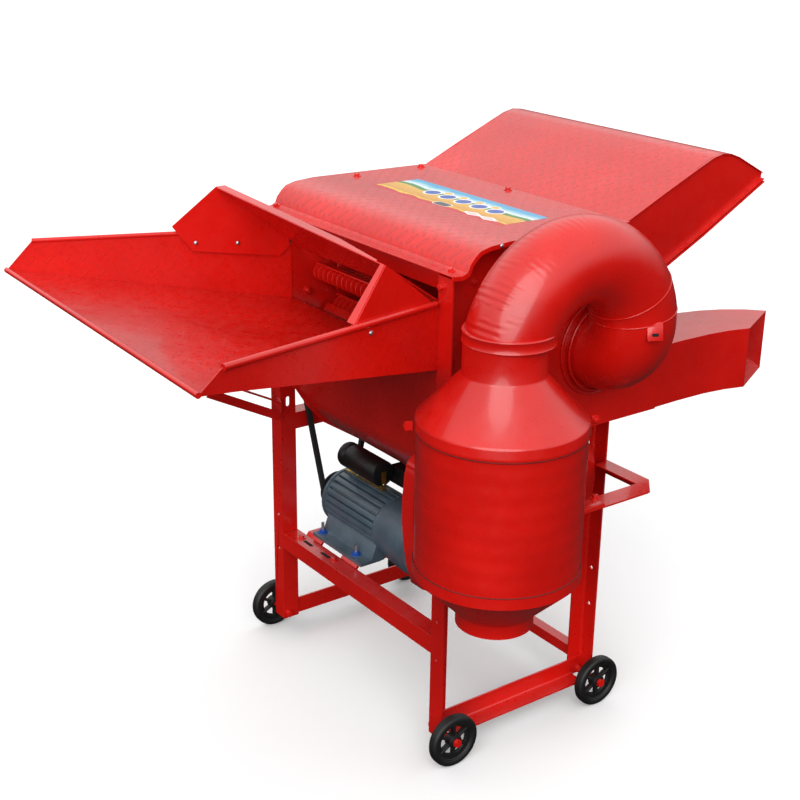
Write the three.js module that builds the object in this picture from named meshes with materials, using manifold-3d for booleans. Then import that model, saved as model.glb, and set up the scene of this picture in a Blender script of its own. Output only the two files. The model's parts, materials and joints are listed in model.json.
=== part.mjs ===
// Threshing machine on a wheeled angle-iron stand, in millimetres, +Z up, feed side at -X
import * as THREE from 'three';
import { mergeVertices } from 'three/addons/utils/BufferGeometryUtils.js';
import Module from 'manifold-3d';

const wasm = await Module();
wasm.setup();

// Clearances and sheet
const gap = 0.3;
const overrun = 12;
const sheet = 2;
const weld = 0.001;

// Stand of angle iron: X is the outer face of the front legs, Y the outer edge of the near ones
const stand = {
  length: 424, width: 653, angle: 40, wall: 4, root: 5, foot: 44.5, top: 1030,
  slotLength: 24, slotWidth: 10, slotInset: 20, slotHeight: 597,
  holeHigh: 313.6, holeLow: 225.6, holeRadius: 4.5,
};
const rail = { bottom: 47.5, mid: 273, upper: 566, cope: 22, low: 110, lowAngle: 25, lowWall: 3 };

// Wheels on their axle bolts
const wheel = {
  radius: 57, width: 23, inset: 12, side: 38.7, rim: 8, hub: 15, bore: 6.4, spokes: 6, spoke: 9,
  spokeWidth: 11,
};
const axleBolt = { radius: 6, head: 9.5, headLength: 6.5, nut: 8.8, nutLength: 7, tail: 9 };

// Chamber between the two side plates
const chamber = { near: 40.3, far: 556, front: 0, rear: 432 };
const hood = { near: -10, far: 663, rimDepth: 9 };
const hoodProfile = [
  [-8, 1039], [15, 1037], [26, 1041], [32, 1055], [43.5, 1068], [55, 1077], [78, 1083], [125, 1086.5],
  [432, 1083],
];
const apron = { x: 28, bottom: 990, top: 1036 };

// Drum, its concave and the collecting trough with the auger
const drum = {
  x: 160, z: 890, tip: 120, barWidth: 26, barWall: 6, bars: 6, teeth: 17, tooth: 2.6,
  near: 50, far: 548, shaft: 15, disc: 63, discWall: 5, discs: 3, discInset: 34, turnDegrees: 157,
};
// Tooth of the drum: places across the bar's half width, at its foot and at its tip
const toothShares = { back: -0.8, tipBack: -0.95, tipFront: -0.4, front: 0.8 };
const concave = {
  radius: 141, wall: 3, fromDegrees: 198, toDegrees: 336, rows: 5, columns: 6, slotShare: 0.7,
};
const auger = {
  x: 240, z: 540, trough: 72, radius: 62, shaft: 14, flight: 3, pitch: 90, steps: 12, rootShare: 0.7,
  near: 6, far: 594, casing: 156, troughFrom: 233.4,
};
const troughFront = [[5, 850], [12, 649], [42, 602], [81, 558]];
const rearPanel = [[322, 560], [418, 745], [429, 920]];
const deck = [[302, 850], [430, 922]];
const bearing = { radius: 32, depth: 14, flange: 44, flangeWall: 4 };

// Straw chute over the rear
const chute = { near: 0, far: 658, lip: 10 };
const chuteTop = [
  [432.3, 1083], [620, 1165], [663, 1183], [690, 1189], [717, 1186], [742, 1177], [820, 1137],
];
const chuteFoot = [[819, 1124], [646, 1031], [546, 982], [432.3, 926]];

// Feed tray and guard: rear edge at the legs, front edge flared
const tray = {
  rear: -0.6, front: -580, nearRear: 40, farRear: 556, nearFront: -110, farFront: 708,
  floorRear: 860, floorFront: 962, skirt: 15, rim: 4,
};
const trayNearTop = [[-528, -96, 994], [-0.6, 40, 976]];
const trayFarTop = [[-516, 691, 1026], [-235, 617, 1018], [-0.6, 556, 978]];
const guard = {
  nearWing: [[-144, 1077], [-222, 986], [-190, 942], [-60, 942], [-8, 962], [-8, 975]],
  farWing: [[-156, 1111], [-248, 1035], [-235, 1016], [-207, 980], [-30, 955], [-8, 973], [-8, 993]],
  lowEdge: 968, lowX: 20,
};

// Motor, lying across on the two mounting strips
const motor = {
  x: 148, z: 350, radius: 62, rib: 6, ribs: 30, ribWidth: 3, near: 222, smooth: 362, far: 562, shield: 585,
  shaft: 12, footNear: 356, footFar: 551, footLeft: 44, footRight: 248, footBottom: 280, footWall: 8,
  pedestal: 74, pedestalFar: 540,
};
const strip = { width: 62, wall: 6, left: 10, step: 43, rise: 8, nearEdge: 372, farEdge: 515 };
const capacitor = { x: 146, z: 458.4, radius: 30, near: 415, far: 560, strapWidth: 12, strapWall: 1.6 };
const terminal = { left: 178, right: 214, near: 345, far: 435, gasket: 426, height: 42 };

// Radius and depth shares of the end shield, and of the cowl's rounded edge
const shieldShares = [[1, 0], [1, 0.4], [0.8, 0.75], [0.42, 0.8], [0.4, 1]];
const cowlShares = [[1, 1], [0.97, 0.4], [0.9, 0]];

// Belts: main belt motor to drum, middle belt drum to auger, fan belt on the near side
const pulleyFlange = 2.5;
const mainBelt = { y: 601, width: 17, wall: 11, drumRadius: 157, motorRadius: 44 };
const middleBelt = { y: 584, width: 13, wall: 7, drumRadius: 58, augerRadius: 73 };
const fanBelt = { y: 11, width: 13, wall: 7, drumRadius: 90, fanRadius: 35 };

// Fan with its scroll housing, chaff duct and port collar
const fan = {
  x: 310, z: 866, near: -66, far: -2, startRadius: 108, endRadius: 169, outlet: 485, outletTop: 829,
  outletBottom: 697, port: 81, rotor: 98, rotorNear: -56, rotorFar: -14, blades: 8, shaft: 10,
};
const scroll = { fromDegrees: -13, toDegrees: 270, power: 1.3 };
const ductNear = [[485.3, -62], [560, -60], [634, -61.5], [690, -68.5], [737, -81]];
const ductFar = [[485.3, -4], [585, 78], [693, 80], [743, 67], [788, 48], [833, 18], [866, -15]];
const collar = { radius: 86, depth: 6 };

// Grain cylinder and the bend from its neck to the fan's port
const cylinder = {
  x: -5, y: -160, radius: 155, shoulder: 818, band: 795, lap: 8, coneTop: 902, neck: 76, neckTop: 958,
  seam: 534, rim: 513, coneBottom: 432, spout: 74, bottom: 405,
};
const bend = {
  pipe: 81, neckTop: 926, radius: 154.6, degrees: 150, shift: 4, lean: 4, bead: 3, collarHeight: 23,
  gore: 45, goreTurn: 20, elbowPull: 52, endY: -72.7, wall: 2, spare: 3,
};
const inlet = { left: -100, right: 118, bottom: 600, top: 692, near: -40, far: -1 };
const bracket = {
  near: -163, far: -120, z: 572, height: 30, wall: 3, left: 152, armX: 424.3, armWidth: 36, cornerX: 387,
};
const ear = { right: 266, near: -161, far: -125, wall: 4 };
const stay = { width: 20, wall: 3, footZ: 577, footHeight: 30, kneeX: -180, kneeZ: 670, topZ: 930 };

// Curved faces: sides of full circles, and points or steps along part circles
const sides = { fine: 24, pipe: 20, middle: 16, small: 8, tiny: 6 };
const arcs = {
  root: 4, trough: 12, concave: 16, beltLarge: 24, beltSmall: 12, scroll: 24, bend: 10, gore: 2, elbow: 6,
};

const degree = Math.PI / 180;

const colours = {
  red: 0xc4160f, black: 0x15151a, gold: 0xb08a3c, motor: 0x4b5a66, rubber: 0x1b1b1b, steel: 0x8d9196,
};

function finish(colour, roughness, metalness) {
  return new THREE.MeshStandardMaterial({ color: colour, roughness, metalness, side: THREE.DoubleSide });
}

// Solids from closed geometries, and back
function solidOf(geometry) {
  const bare = geometry.clone();
  bare.deleteAttribute('normal');
  bare.deleteAttribute('uv');
  const merged = mergeVertices(bare, weld);
  return new wasm.Manifold(new wasm.Mesh({
    numProp: 3,
    vertProperties: new Float32Array(merged.attributes.position.array),
    triVerts: new Uint32Array(merged.index.array),
  }));
}

function geometryOf(solid) {
  const mesh = solid.getMesh();
  const geometry = new THREE.BufferGeometry();
  geometry.setAttribute('position', new THREE.BufferAttribute(mesh.vertProperties, 3));
  geometry.setIndex(new THREE.BufferAttribute(mesh.triVerts, 1));
  return geometry;
}

function joined(solids) {
  return solids.reduce((whole, solid) => whole.add(solid));
}

function cut(solid, tools) {
  return tools.reduce((whole, tool) => whole.subtract(tool), solid);
}

// Outlines
function shapeOf(points) {
  return new THREE.Shape(points.map(([a, b]) => new THREE.Vector2(a, b)));
}

function circlePoints(a, b, radius, count, from = 0, to = 360) {
  const full = to - from === 360;
  const steps = full ? count : count - 1;
  return Array.from({ length: count }, (unused, i) => {
    const angle = (from + (to - from) * i / steps) * degree;
    return [a + radius * Math.cos(angle), b + radius * Math.sin(angle)];
  });
}

// A line moved sideways by a distance, mitred at its corners; a positive distance lies to its left
function offsetLine(points, distance) {
  return points.map((point, i) => {
    const before = points[Math.max(i - 1, 0)];
    const after = points[Math.min(i + 1, points.length - 1)];
    const normals = [[before, point], [point, after]]
      .filter(([p, q]) => p !== q)
      .map(([p, q]) => {
        const run = Math.hypot(q[0] - p[0], q[1] - p[1]);
        return [(p[1] - q[1]) / run, (q[0] - p[0]) / run];
      });
    const sum = normals.reduce((total, n) => [total[0] + n[0], total[1] + n[1]], [0, 0]);
    const scale = distance * normals.length / (sum[0] ** 2 + sum[1] ** 2);
    return [point[0] + sum[0] * scale, point[1] + sum[1] * scale];
  });
}

function sheetOutline(points, thickness) {
  return [...points, ...offsetLine(points, thickness).reverse()];
}

// Extrusions along each axis, from one coordinate to another
function alongZ(points, from, to) {
  const geometry = new THREE.ExtrudeGeometry(shapeOf(points), { depth: to - from, bevelEnabled: false });
  return geometry.translate(0, 0, from);
}

function alongY(points, from, to) {
  const geometry = new THREE.ExtrudeGeometry(shapeOf(points), { depth: to - from, bevelEnabled: false });
  return geometry.rotateX(Math.PI / 2).translate(0, to, 0);
}

function alongX(points, from, to) {
  const geometry = new THREE.ExtrudeGeometry(shapeOf(points), { depth: to - from, bevelEnabled: false });
  const turn = new THREE.Matrix4().set(0, 0, 1, from, 1, 0, 0, 0, 0, 1, 0, 0, 0, 0, 0, 1);
  return geometry.applyMatrix4(turn);
}

function block(x0, x1, y0, y1, z0, z1) {
  const geometry = new THREE.BoxGeometry(x1 - x0, y1 - y0, z1 - z0);
  return solidOf(geometry.translate((x0 + x1) / 2, (y0 + y1) / 2, (z0 + z1) / 2));
}

function discY(x, z, radius, from, to, count) {
  return solidOf(alongY(circlePoints(x, z, radius, count), from, to));
}

function discX(y, z, radius, from, to, count) {
  return solidOf(alongX(circlePoints(y, z, radius, count), from, to));
}

// A closed profile of radius and height, turned about Z
function turned(profile, count) {
  const loop = profile.map(([r, z]) => new THREE.Vector2(r, z));
  if (THREE.ShapeUtils.area(loop) < 0) loop.reverse();
  return solidOf(new THREE.LatheGeometry([...loop, loop[0]], count).rotateX(Math.PI / 2));
}

// The same, turned about Y and set at a place on its axis
function turnedY(profile, count, x, y, z) {
  return turned(profile, count).rotate([-90, 0, 0]).translate(x, y, z);
}

// A flat sheet through points in space, thickened along its normal, or against it if negative
function panel(points, thickness) {
  const [first, second, third] = points.map((p) => new THREE.Vector3(...p));
  const u = second.clone().sub(first).normalize();
  const n = u.clone().cross(third.clone().sub(first)).normalize();
  const v = n.clone().cross(u);
  const flat = points.map((p) => {
    const d = new THREE.Vector3(...p).sub(first);
    return [d.dot(u), d.dot(v)];
  });
  const depth = Math.abs(thickness);
  const geometry = new THREE.ExtrudeGeometry(shapeOf(flat), { depth, bevelEnabled: false });
  geometry.translate(0, 0, Math.min(thickness, 0));
  geometry.applyMatrix4(new THREE.Matrix4().makeBasis(u, v, n));
  return solidOf(geometry.translate(first.x, first.y, first.z));
}

// A rod between two points
function rod(from, to, radius, count) {
  const a = new THREE.Vector3(...from);
  const b = new THREE.Vector3(...to);
  const geometry = new THREE.CylinderGeometry(radius, radius, a.distanceTo(b), count);
  const heading = b.clone().sub(a).normalize();
  geometry.applyQuaternion(new THREE.Quaternion().setFromUnitVectors(new THREE.Vector3(0, 1, 0), heading));
  const middle = a.add(b).multiplyScalar(0.5);
  return solidOf(geometry.translate(middle.x, middle.y, middle.z));
}

// Angle section with its corner at a point; each flange runs off in its own direction
function anglePoints(a, b, towardA, towardB, flange, wall, root) {
  const bow = root
    ? circlePoints(wall + root, wall + root, root, arcs.root, 270, 180)
    : [[wall, wall]];
  const outline = [[0, 0], [flange, 0], [flange, wall], ...bow, [wall, flange], [0, flange]];
  return outline.map(([p, q]) => [a + towardA * p, b + towardB * q]);
}

const machine = new THREE.Group();

function add(name, solid, material) {
  const geometry = solid.isBufferGeometry ? solid : geometryOf(solid);
  const mesh = new THREE.Mesh(geometry, material);
  mesh.name = name;
  machine.add(mesh);
}

const red = () => finish(colours.red, 0.3, 0);

// Legs: one flange across the machine's end, one along its side
const nearLegY = stand.angle;
const farLegY = stand.width - stand.angle;

function leg(name, atRear, isFar) {
  const x = atRear ? stand.length : 0;
  const inward = atRear ? -1 : 1;
  const y = isFar ? farLegY : nearLegY;
  const outward = isFar ? 1 : -1;
  const outline = anglePoints(x, y, inward, outward, stand.angle, stand.wall, stand.root);
  const slotX = x + inward * stand.slotInset;
  const holeY = y + outward * stand.slotInset;
  const half = stand.slotLength / 2 - stand.slotWidth / 2;
  const slotEnds = [stand.slotHeight - half, stand.slotHeight + half];
  const slotPoints = [
    ...circlePoints(slotX, slotEnds[1], stand.slotWidth / 2, sides.tiny, 0, 180),
    ...circlePoints(slotX, slotEnds[0], stand.slotWidth / 2, sides.tiny, 180, 360),
  ];
  const axleX = x + inward * wheel.inset;
  const reach = [y - outward * overrun, y + outward * overrun].sort((p, q) => p - q);
  const across = [x - overrun, x + overrun];
  const tools = [
    solidOf(alongY(slotPoints, ...reach)),
    discY(axleX, wheel.radius, axleBolt.radius + gap, ...reach, sides.small),
    ...[stand.holeHigh, stand.holeLow].map((z) => discX(holeY, z, stand.holeRadius, ...across, sides.tiny)),
  ];
  add(name, cut(solidOf(alongZ(outline, stand.foot, stand.top)), tools), red());
}

leg('leg_front_near', false, false);
leg('leg_front_far', false, true);
leg('leg_rear_near', true, false);
leg('leg_rear_far', true, true);

// Bottom rails: upright flange on the legs' outer side, floor flange coped for the axle nuts
const railInset = stand.wall + stand.root + gap;

function ordered(a, b) {
  return a < b ? [a, b] : [b, a];
}

// Axle bolt: head outside the wheel, shank through wheel, rail and leg, nuts on the rail and the leg
function boltSolid(x, side) {
  const edge = side > 0 ? stand.width : 0;
  const outerFace = edge + side * wheel.side;
  const legFace = side > 0 ? farLegY : nearLegY;
  const railFace = legFace + side * (2 * stand.wall + gap);
  const z = wheel.radius;
  const headFrom = outerFace + side * gap;
  const hexagon = (radius, from, to) => (
    solidOf(alongY(circlePoints(x, z, radius, 6, 30, 390), ...ordered(from, to)))
  );
  return joined([
    discY(x, z, axleBolt.radius, ...ordered(headFrom, legFace - side * axleBolt.tail), sides.small),
    hexagon(axleBolt.head, headFrom, headFrom + side * axleBolt.headLength),
    hexagon(axleBolt.nut, railFace, railFace + side * axleBolt.nutLength),
    hexagon(axleBolt.nut, legFace - side * gap, legFace - side * (gap + axleBolt.nutLength)),
  ]);
}

function bottomRail(name, side) {
  const y = (side > 0 ? farLegY : nearLegY) + side * (stand.wall + gap);
  const outline = anglePoints(y, rail.bottom, side, 1, stand.angle, stand.wall, stand.root);
  const body = solidOf(alongX(outline, railInset, stand.length - railInset));
  const across = ordered(y + side * stand.wall, y + side * (stand.angle + overrun));
  const low = rail.bottom - overrun;
  const high = rail.bottom + stand.wall + stand.root;
  const ends = [[0, 1], [stand.length, -1]];
  const copes = ends.map(([x, inward]) => (
    block(...ordered(x, x + inward * (railInset + rail.cope)), ...across, low, high)
  ));
  const bolts = ends.map(([x, inward]) => boltSolid(x + inward * wheel.inset, side));
  add(name, joined([cut(body, copes), ...bolts]), red());
}

bottomRail('bottom_rail_near', -1);
bottomRail('bottom_rail_far', 1);

// Cross rails between the legs
const betweenNear = nearLegY + gap;
const betweenFar = farLegY - gap;

function crossRail(name, x, inward, top, size, wall, root) {
  const outline = anglePoints(x, top, inward, -1, size, wall, root);
  add(name, alongY(outline, betweenNear, betweenFar), red());
}

crossRail('middle_rail_front', 0, 1, rail.mid, stand.angle, stand.wall, stand.root);
crossRail('middle_rail_rear', stand.length, -1, rail.mid, stand.angle, stand.wall, stand.root);
crossRail('low_rail_rear', stand.length - rail.lowAngle, 1, rail.low, rail.lowAngle, rail.lowWall, 0);

function upperRail() {
  const outline = anglePoints(farLegY, rail.upper, 1, -1, stand.angle, stand.wall, stand.root);
  const from = stand.angle + gap;
  add('upper_rail_far', alongX(outline, from, stand.length - from), red());
}

upperRail();

// Disc about Y that lies on a flat: its sides, not its corners, are at the stated radius
function flatDisc(x, z, radius, from, to, count) {
  const half = 180 / count;
  const reach = radius / Math.cos(half * degree);
  return solidOf(alongY(circlePoints(x, z, reach, count, half, 360 + half), from, to));
}

// Wheels: rim, hub and spokes in one casting, turned about Y
function wheelSolid(x, side) {
  const inner = side > 0 ? stand.width + wheel.side : -wheel.side;
  const [y0, y1] = [inner, inner - side * wheel.width].sort((p, q) => p - q);
  const web = (wheel.width - wheel.spokeWidth) / 2;
  const z = wheel.radius;
  const rim = cut(flatDisc(x, z, wheel.radius, y0, y1, sides.fine), [
    discY(x, z, wheel.radius - wheel.rim, y0 - overrun, y1 + overrun, sides.fine),
  ]);
  const hub = discY(x, z, wheel.hub, y0, y1, sides.middle);
  const reach = wheel.radius - wheel.rim / 2;
  const spokes = Array.from({ length: wheel.spokes }, (unused, i) => {
    const angle = (i + 0.5) * 2 * Math.PI / wheel.spokes;
    const [c, s] = [Math.cos(angle), Math.sin(angle)];
    const half = wheel.spoke / 2;
    const outline = [
      [x - s * half, z + c * half], [x + s * half, z - c * half],
      [x + c * reach + s * half, z + s * reach - c * half],
      [x + c * reach - s * half, z + s * reach + c * half],
    ];
    return solidOf(alongY(outline, y0 + web, y1 - web));
  });
  const whole = joined([rim, hub, ...spokes]);
  return cut(whole, [discY(x, z, wheel.bore, y0 - overrun, y1 + overrun, sides.middle)]);
}

for (const [place, x] of [['front', wheel.inset], ['rear', stand.length - wheel.inset]]) {
  for (const [hand, side] of [['near', -1], ['far', 1]]) {
    add(`wheel_${place}_${hand}`, wheelSolid(x, side), finish(colours.black, 0.4, 0));
  }
}

// Side plates under the hood's curve, with the trough's outline below
const hoodUnder = offsetLine(hoodProfile, -(sheet + gap));

function aboveHood(from, to) {
  const last = hoodUnder[hoodUnder.length - 1];
  const roof = last[1] + 10 * overrun;
  const beyond = last[0] + overrun;
  const outline = [...hoodUnder, [beyond, last[1]], [beyond, roof], [hoodUnder[0][0], roof]];
  return solidOf(alongY(outline, from - overrun, to + overrun));
}

const troughArc = circlePoints(auger.x, auger.z, auger.trough, arcs.trough, auger.troughFrom, 360);
const troughLine = [...troughFront, ...troughArc, [auger.x + auger.trough, rearPanel[0][1] - gap]];

function sidePlate(name, from, to, flangeTo) {
  const margin = 3 * sheet;
  const foot = offsetLine(troughLine, -margin).filter(([x, z]) => z < troughFront[0][1]);
  const top = hoodProfile[hoodProfile.length - 1][1];
  const outline = [
    [chamber.front, top], [chamber.front, troughFront[0][1]], [chamber.front, troughFront[1][1]],
    ...foot.filter(([x]) => x > chamber.front + margin),
    [auger.x + auger.trough + margin, rearPanel[0][1]], [rearPanel[1][0] + margin, rearPanel[1][1]],
    [chamber.rear, rearPanel[2][1]], [chamber.rear, top],
  ];
  const y0 = Math.min(from, flangeTo);
  const y1 = Math.max(to, flangeTo);
  const flangeLine = hoodUnder.slice(6);
  const flange = solidOf(alongY(sheetOutline(flangeLine, -sheet), y0, y1));
  const plate = cut(solidOf(alongY(outline, from, to)), [aboveHood(from, to)]);
  return plate.add(flange);
}

function sidePlates() {
  const nearTo = chamber.near + sheet;
  const near = sidePlate('side_plate_near', chamber.near, nearTo, chamber.near - 5 * sheet);
  const farTo = chamber.far + sheet;
  const far = sidePlate('side_plate_far', chamber.far, farTo, farTo + 5 * sheet);
  const shaftHole = drum.shaft + 4 * gap;
  const nearReach = [chamber.near - overrun, nearTo + overrun];
  const farReach = [chamber.far - overrun, farTo + overrun];
  add('side_plate_near', cut(near, [
    discY(drum.x, drum.z, shaftHole, ...nearReach, sides.middle),
    discY(auger.x, auger.z, auger.radius + 2 * sheet, ...nearReach, sides.middle),
  ]), red());
  add('side_plate_far', cut(far, [
    discY(drum.x, drum.z, shaftHole, ...farReach, sides.middle),
    discY(auger.x, auger.z, auger.shaft + 4 * gap, ...farReach, sides.middle),
  ]), red());
}

sidePlates();

// Hood: one bent sheet with turned-down rims at both sides
function hoodSolid() {
  const skin = solidOf(alongY(sheetOutline(hoodProfile, -sheet), hood.near, hood.far));
  const rim = sheetOutline(hoodProfile, -hood.rimDepth);
  return joined([
    skin,
    solidOf(alongY(rim, hood.near, hood.near + sheet)),
    solidOf(alongY(rim, hood.far - sheet, hood.far)),
  ]);
}

add('hood', hoodSolid(), red());

const innerNear = chamber.near + sheet + gap;
const innerFar = chamber.far - gap;

add('front_apron', block(apron.x, apron.x + sheet, innerNear, innerFar, apron.bottom, apron.top), red());

// Trough, rear panel, straw deck and concave between the plates
add('trough', alongY(sheetOutline(troughLine, sheet), innerNear, innerFar), red());
add('rear_panel', solidOf(alongY(sheetOutline(rearPanel, sheet), innerNear, innerFar))
  .add(solidOf(alongY(sheetOutline(deck, -sheet), innerNear, innerFar))), red());

function concaveSolid() {
  const outerRadius = concave.radius + concave.wall;
  const [inner, outer] = [concave.radius, outerRadius].map((radius) => (
    circlePoints(drum.x, drum.z, radius, arcs.concave, concave.fromDegrees, concave.toDegrees)
  ));
  const grid = solidOf(alongY([...inner, ...outer.reverse()], innerNear, innerFar));
  const stepAngle = (concave.toDegrees - concave.fromDegrees) / concave.rows;
  const stepY = (innerFar - innerNear) / concave.columns;
  const tools = [];
  for (let row = 0; row < concave.rows; row += 1) {
    const middle = concave.fromDegrees + (row + 0.5) * stepAngle;
    const half = stepAngle * concave.slotShare / 2;
    const outline = [
      ...circlePoints(drum.x, drum.z, concave.radius - overrun, 2, middle - half, middle + half),
      ...circlePoints(drum.x, drum.z, outerRadius + overrun, 2, middle + half, middle - half),
    ];
    for (let column = 0; column < concave.columns; column += 1) {
      const y = innerNear + (column + 0.5) * stepY;
      const reach = stepY * concave.slotShare / 2;
      tools.push(solidOf(alongY(outline, y - reach, y + reach)));
    }
  }
  return cut(grid, tools);
}

add('concave', concaveSolid(), finish(colours.steel, 0.5, 0.8));

// Drum: shaft with three discs, and six bars of curved teeth
const nearPulleyFace = fanBelt.y - fanBelt.width / 2 - pulleyFlange;
const farPulleyFace = mainBelt.y + mainBelt.width / 2 + pulleyFlange;

function drumCore() {
  const shaft = discY(drum.x, drum.z, drum.shaft, nearPulleyFace, farPulleyFace, sides.middle);
  const span = drum.far - drum.near - 2 * drum.discInset;
  const discs = Array.from({ length: drum.discs }, (unused, i) => {
    const y = drum.near + drum.discInset + span * i / (drum.discs - 1);
    return discY(drum.x, drum.z, drum.disc, y - drum.discWall / 2, y + drum.discWall / 2, sides.middle);
  });
  return joined([shaft, ...discs]);
}

function drumBar(index) {
  const turn = index * 2 * Math.PI / drum.bars + drum.turnDegrees * degree;
  const place = (radial, along) => [
    drum.x + radial * Math.cos(turn) - along * Math.sin(turn),
    drum.z + radial * Math.sin(turn) + along * Math.cos(turn),
  ];
  const half = drum.barWidth / 2;
  const low = drum.disc - drum.barWall / 2;
  const high = low + drum.barWall;
  const bar = [[low, -half], [high, -half], [high, half], [low, half]].map(([r, t]) => place(r, t));
  const root = high - drum.barWall / 2;
  const tooth = [
    [root, toothShares.back], [drum.tip, toothShares.tipBack], [drum.tip, toothShares.tipFront],
    [root, toothShares.front],
  ].map(([r, share]) => place(r, half * share));
  const pitch = (drum.far - drum.near - 2 * drum.tooth) / (drum.teeth - 1);
  const teeth = Array.from({ length: drum.teeth }, (unused, i) => {
    const y = drum.near + drum.tooth + pitch * i;
    return solidOf(alongY(tooth, y - drum.tooth / 2, y + drum.tooth / 2));
  });
  return joined([solidOf(alongY(bar, drum.near, drum.far)), ...teeth]);
}

const bars = Array.from({ length: drum.bars }, (unused, index) => drumBar(index));
add('drum', joined([drumCore(), ...bars]), red());

// Bearing housing on a plate, with a running gap round its shaft
function bearingSolid(x, z, shaft, face, outward) {
  const start = face + outward * gap;
  const flangeEnd = start + outward * bearing.flangeWall;
  const end = start + outward * bearing.depth;
  const half = bearing.flange;
  const outline = [[x, z + half], [x - half, z], [x, z - half], [x + half, z]];
  const body = joined([
    solidOf(alongY(outline, ...ordered(start, flangeEnd))),
    discY(x, z, bearing.radius, ...ordered(start, end), sides.middle),
  ]);
  const bore = ordered(start - outward * overrun, end + outward * overrun);
  return cut(body, [discY(x, z, shaft + gap, ...bore, sides.middle)]);
}

const farFace = chamber.far + sheet;
for (const [name, seat, face, outward] of [
  ['drum_bearing_near', drum, chamber.near, -1],
  ['drum_bearing_far', drum, farFace, 1],
  ['auger_bearing', auger, farFace, 1],
  ['fan_bearing', fan, chamber.near, -1],
]) {
  add(name, bearingSolid(seat.x, seat.z, seat.shaft, face, outward), finish(colours.steel, 0.5, 0.6));
}

// Auger: shaft and one helical flight, whose two faces share the same diagonals
function augerSolid() {
  const half = 180 / auger.steps;
  const section = circlePoints(auger.x, auger.z, auger.shaft, auger.steps, half, 360 + half);
  const shaft = solidOf(alongY(section, auger.near, auger.far));
  const from = innerNear + sheet;
  const to = innerFar - sheet;
  const turns = Math.round(2 * (to - from) / auger.pitch) / 2;
  const count = Math.round(turns * auger.steps);
  const root = auger.shaft * auger.rootShare;
  const positions = [];
  const indices = [];
  for (let i = 0; i <= count; i += 1) {
    const angle = 2 * Math.PI * turns * i / count;
    const y = from + (to - from - auger.flight) * i / count;
    const { radius, flight } = auger;
    for (const [r, dy] of [[root, 0], [radius, 0], [radius, flight], [root, flight]]) {
      positions.push(auger.x + r * Math.cos(angle), y + dy, auger.z + r * Math.sin(angle));
    }
  }
  for (let i = 0; i < count; i += 1) {
    for (let k = 0; k < 4; k += 1) {
      const [a, b] = [4 * i + k, 4 * i + (k + 1) % 4];
      const diagonal = k === 2 ? [a, b, b + 4, a, b + 4, a + 4] : [a, b, a + 4, b, b + 4, a + 4];
      indices.push(...diagonal);
    }
  }
  const last = 4 * count;
  indices.push(0, 2, 1, 0, 3, 2, last, last + 1, last + 2, last, last + 2, last + 3);
  const geometry = new THREE.BufferGeometry();
  geometry.setAttribute('position', new THREE.Float32BufferAttribute(positions, 3));
  geometry.setIndex(indices);
  return shaft.add(solidOf(geometry));
}

add('auger', augerSolid(), finish(colours.steel, 0.5, 0.8));

// Thrower housing in the near gap, with its inlet collar and the duct into the cylinder
const thrower = { near: 2, far: 34, blade: 146, hub: 24, blades: 4, bladeWall: 4 };

function throwerHousing() {
  const outer = discY(auger.x, auger.z, auger.casing, thrower.near, thrower.far, sides.fine);
  const inner = discY(
    auger.x, auger.z, auger.casing - sheet, thrower.near + sheet, thrower.far - sheet, sides.fine,
  );
  const collarOuter = discY(
    auger.x, auger.z, auger.radius + 3 * sheet, thrower.far - sheet, chamber.near - gap, sides.middle,
  );
  const mouthRadius = auger.radius + 2 * sheet;
  const mouth = discY(
    auger.x, auger.z, mouthRadius, thrower.far - 2 * sheet, chamber.near + overrun, sides.middle,
  );
  const box = block(inlet.left, inlet.right, inlet.near, inlet.far, inlet.bottom, inlet.top);
  const boxInner = block(
    inlet.left + sheet, inlet.right - sheet, inlet.near - overrun, inlet.far - sheet,
    inlet.bottom + sheet, inlet.top - sheet,
  );
  const neck = block(
    stand.angle, inlet.right, inlet.far - sheet, thrower.near + sheet, inlet.bottom, inlet.top,
  );
  const neckInner = block(
    stand.angle + sheet, inlet.right - sheet, inlet.far - 2 * sheet, thrower.near + 2 * sheet,
    inlet.bottom + sheet, inlet.top - sheet,
  );
  const round = turned([
    [0, inlet.bottom - overrun], [cylinder.radius + gap, inlet.bottom - overrun],
    [cylinder.radius + gap, inlet.top + overrun], [0, inlet.top + overrun],
  ], sides.fine).translate(cylinder.x, cylinder.y, 0);
  return cut(joined([outer, box, neck, collarOuter]), [inner, boxInner, neckInner, mouth, round]);
}

add('thrower_housing', throwerHousing(), red());

function bladeRotor(x, z, near, far, hub, tip, blades, wall, bore) {
  const core = discY(x, z, hub, near, far, sides.middle);
  const hole = discY(x, z, bore + gap, near - overrun, far + overrun, sides.middle);
  const paddles = Array.from({ length: blades }, (unused, i) => {
    const angle = i * 2 * Math.PI / blades;
    const [c, s] = [Math.cos(angle), Math.sin(angle)];
    const outline = [[hub / 2, -wall / 2], [tip, -wall / 2], [tip, wall / 2], [hub / 2, wall / 2]]
      .map(([r, t]) => [x + r * c - t * s, z + r * s + t * c]);
    return solidOf(alongY(outline, near, far));
  });
  return cut(joined([core, ...paddles]), [hole]);
}

add('thrower_rotor', bladeRotor(
  auger.x, auger.z, thrower.near + 3 * sheet, thrower.far - 3 * sheet, thrower.hub, thrower.blade,
  thrower.blades, thrower.bladeWall, auger.shaft,
), finish(colours.steel, 0.5, 0.8));

// V-belt pulley: a hub disc with a groove for its belt
function pulley(seat, belt, radius, bore, count) {
  const half = belt.width / 2 + pulleyFlange;
  const deep = radius - belt.wall - 3 * gap;
  const profile = [
    [bore + gap, -half], [radius, -half], [deep, -belt.width / 3], [deep, belt.width / 3], [radius, half],
    [bore + gap, half],
  ];
  return turnedY(profile, count, seat.x, belt.y, seat.z);
}

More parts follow.
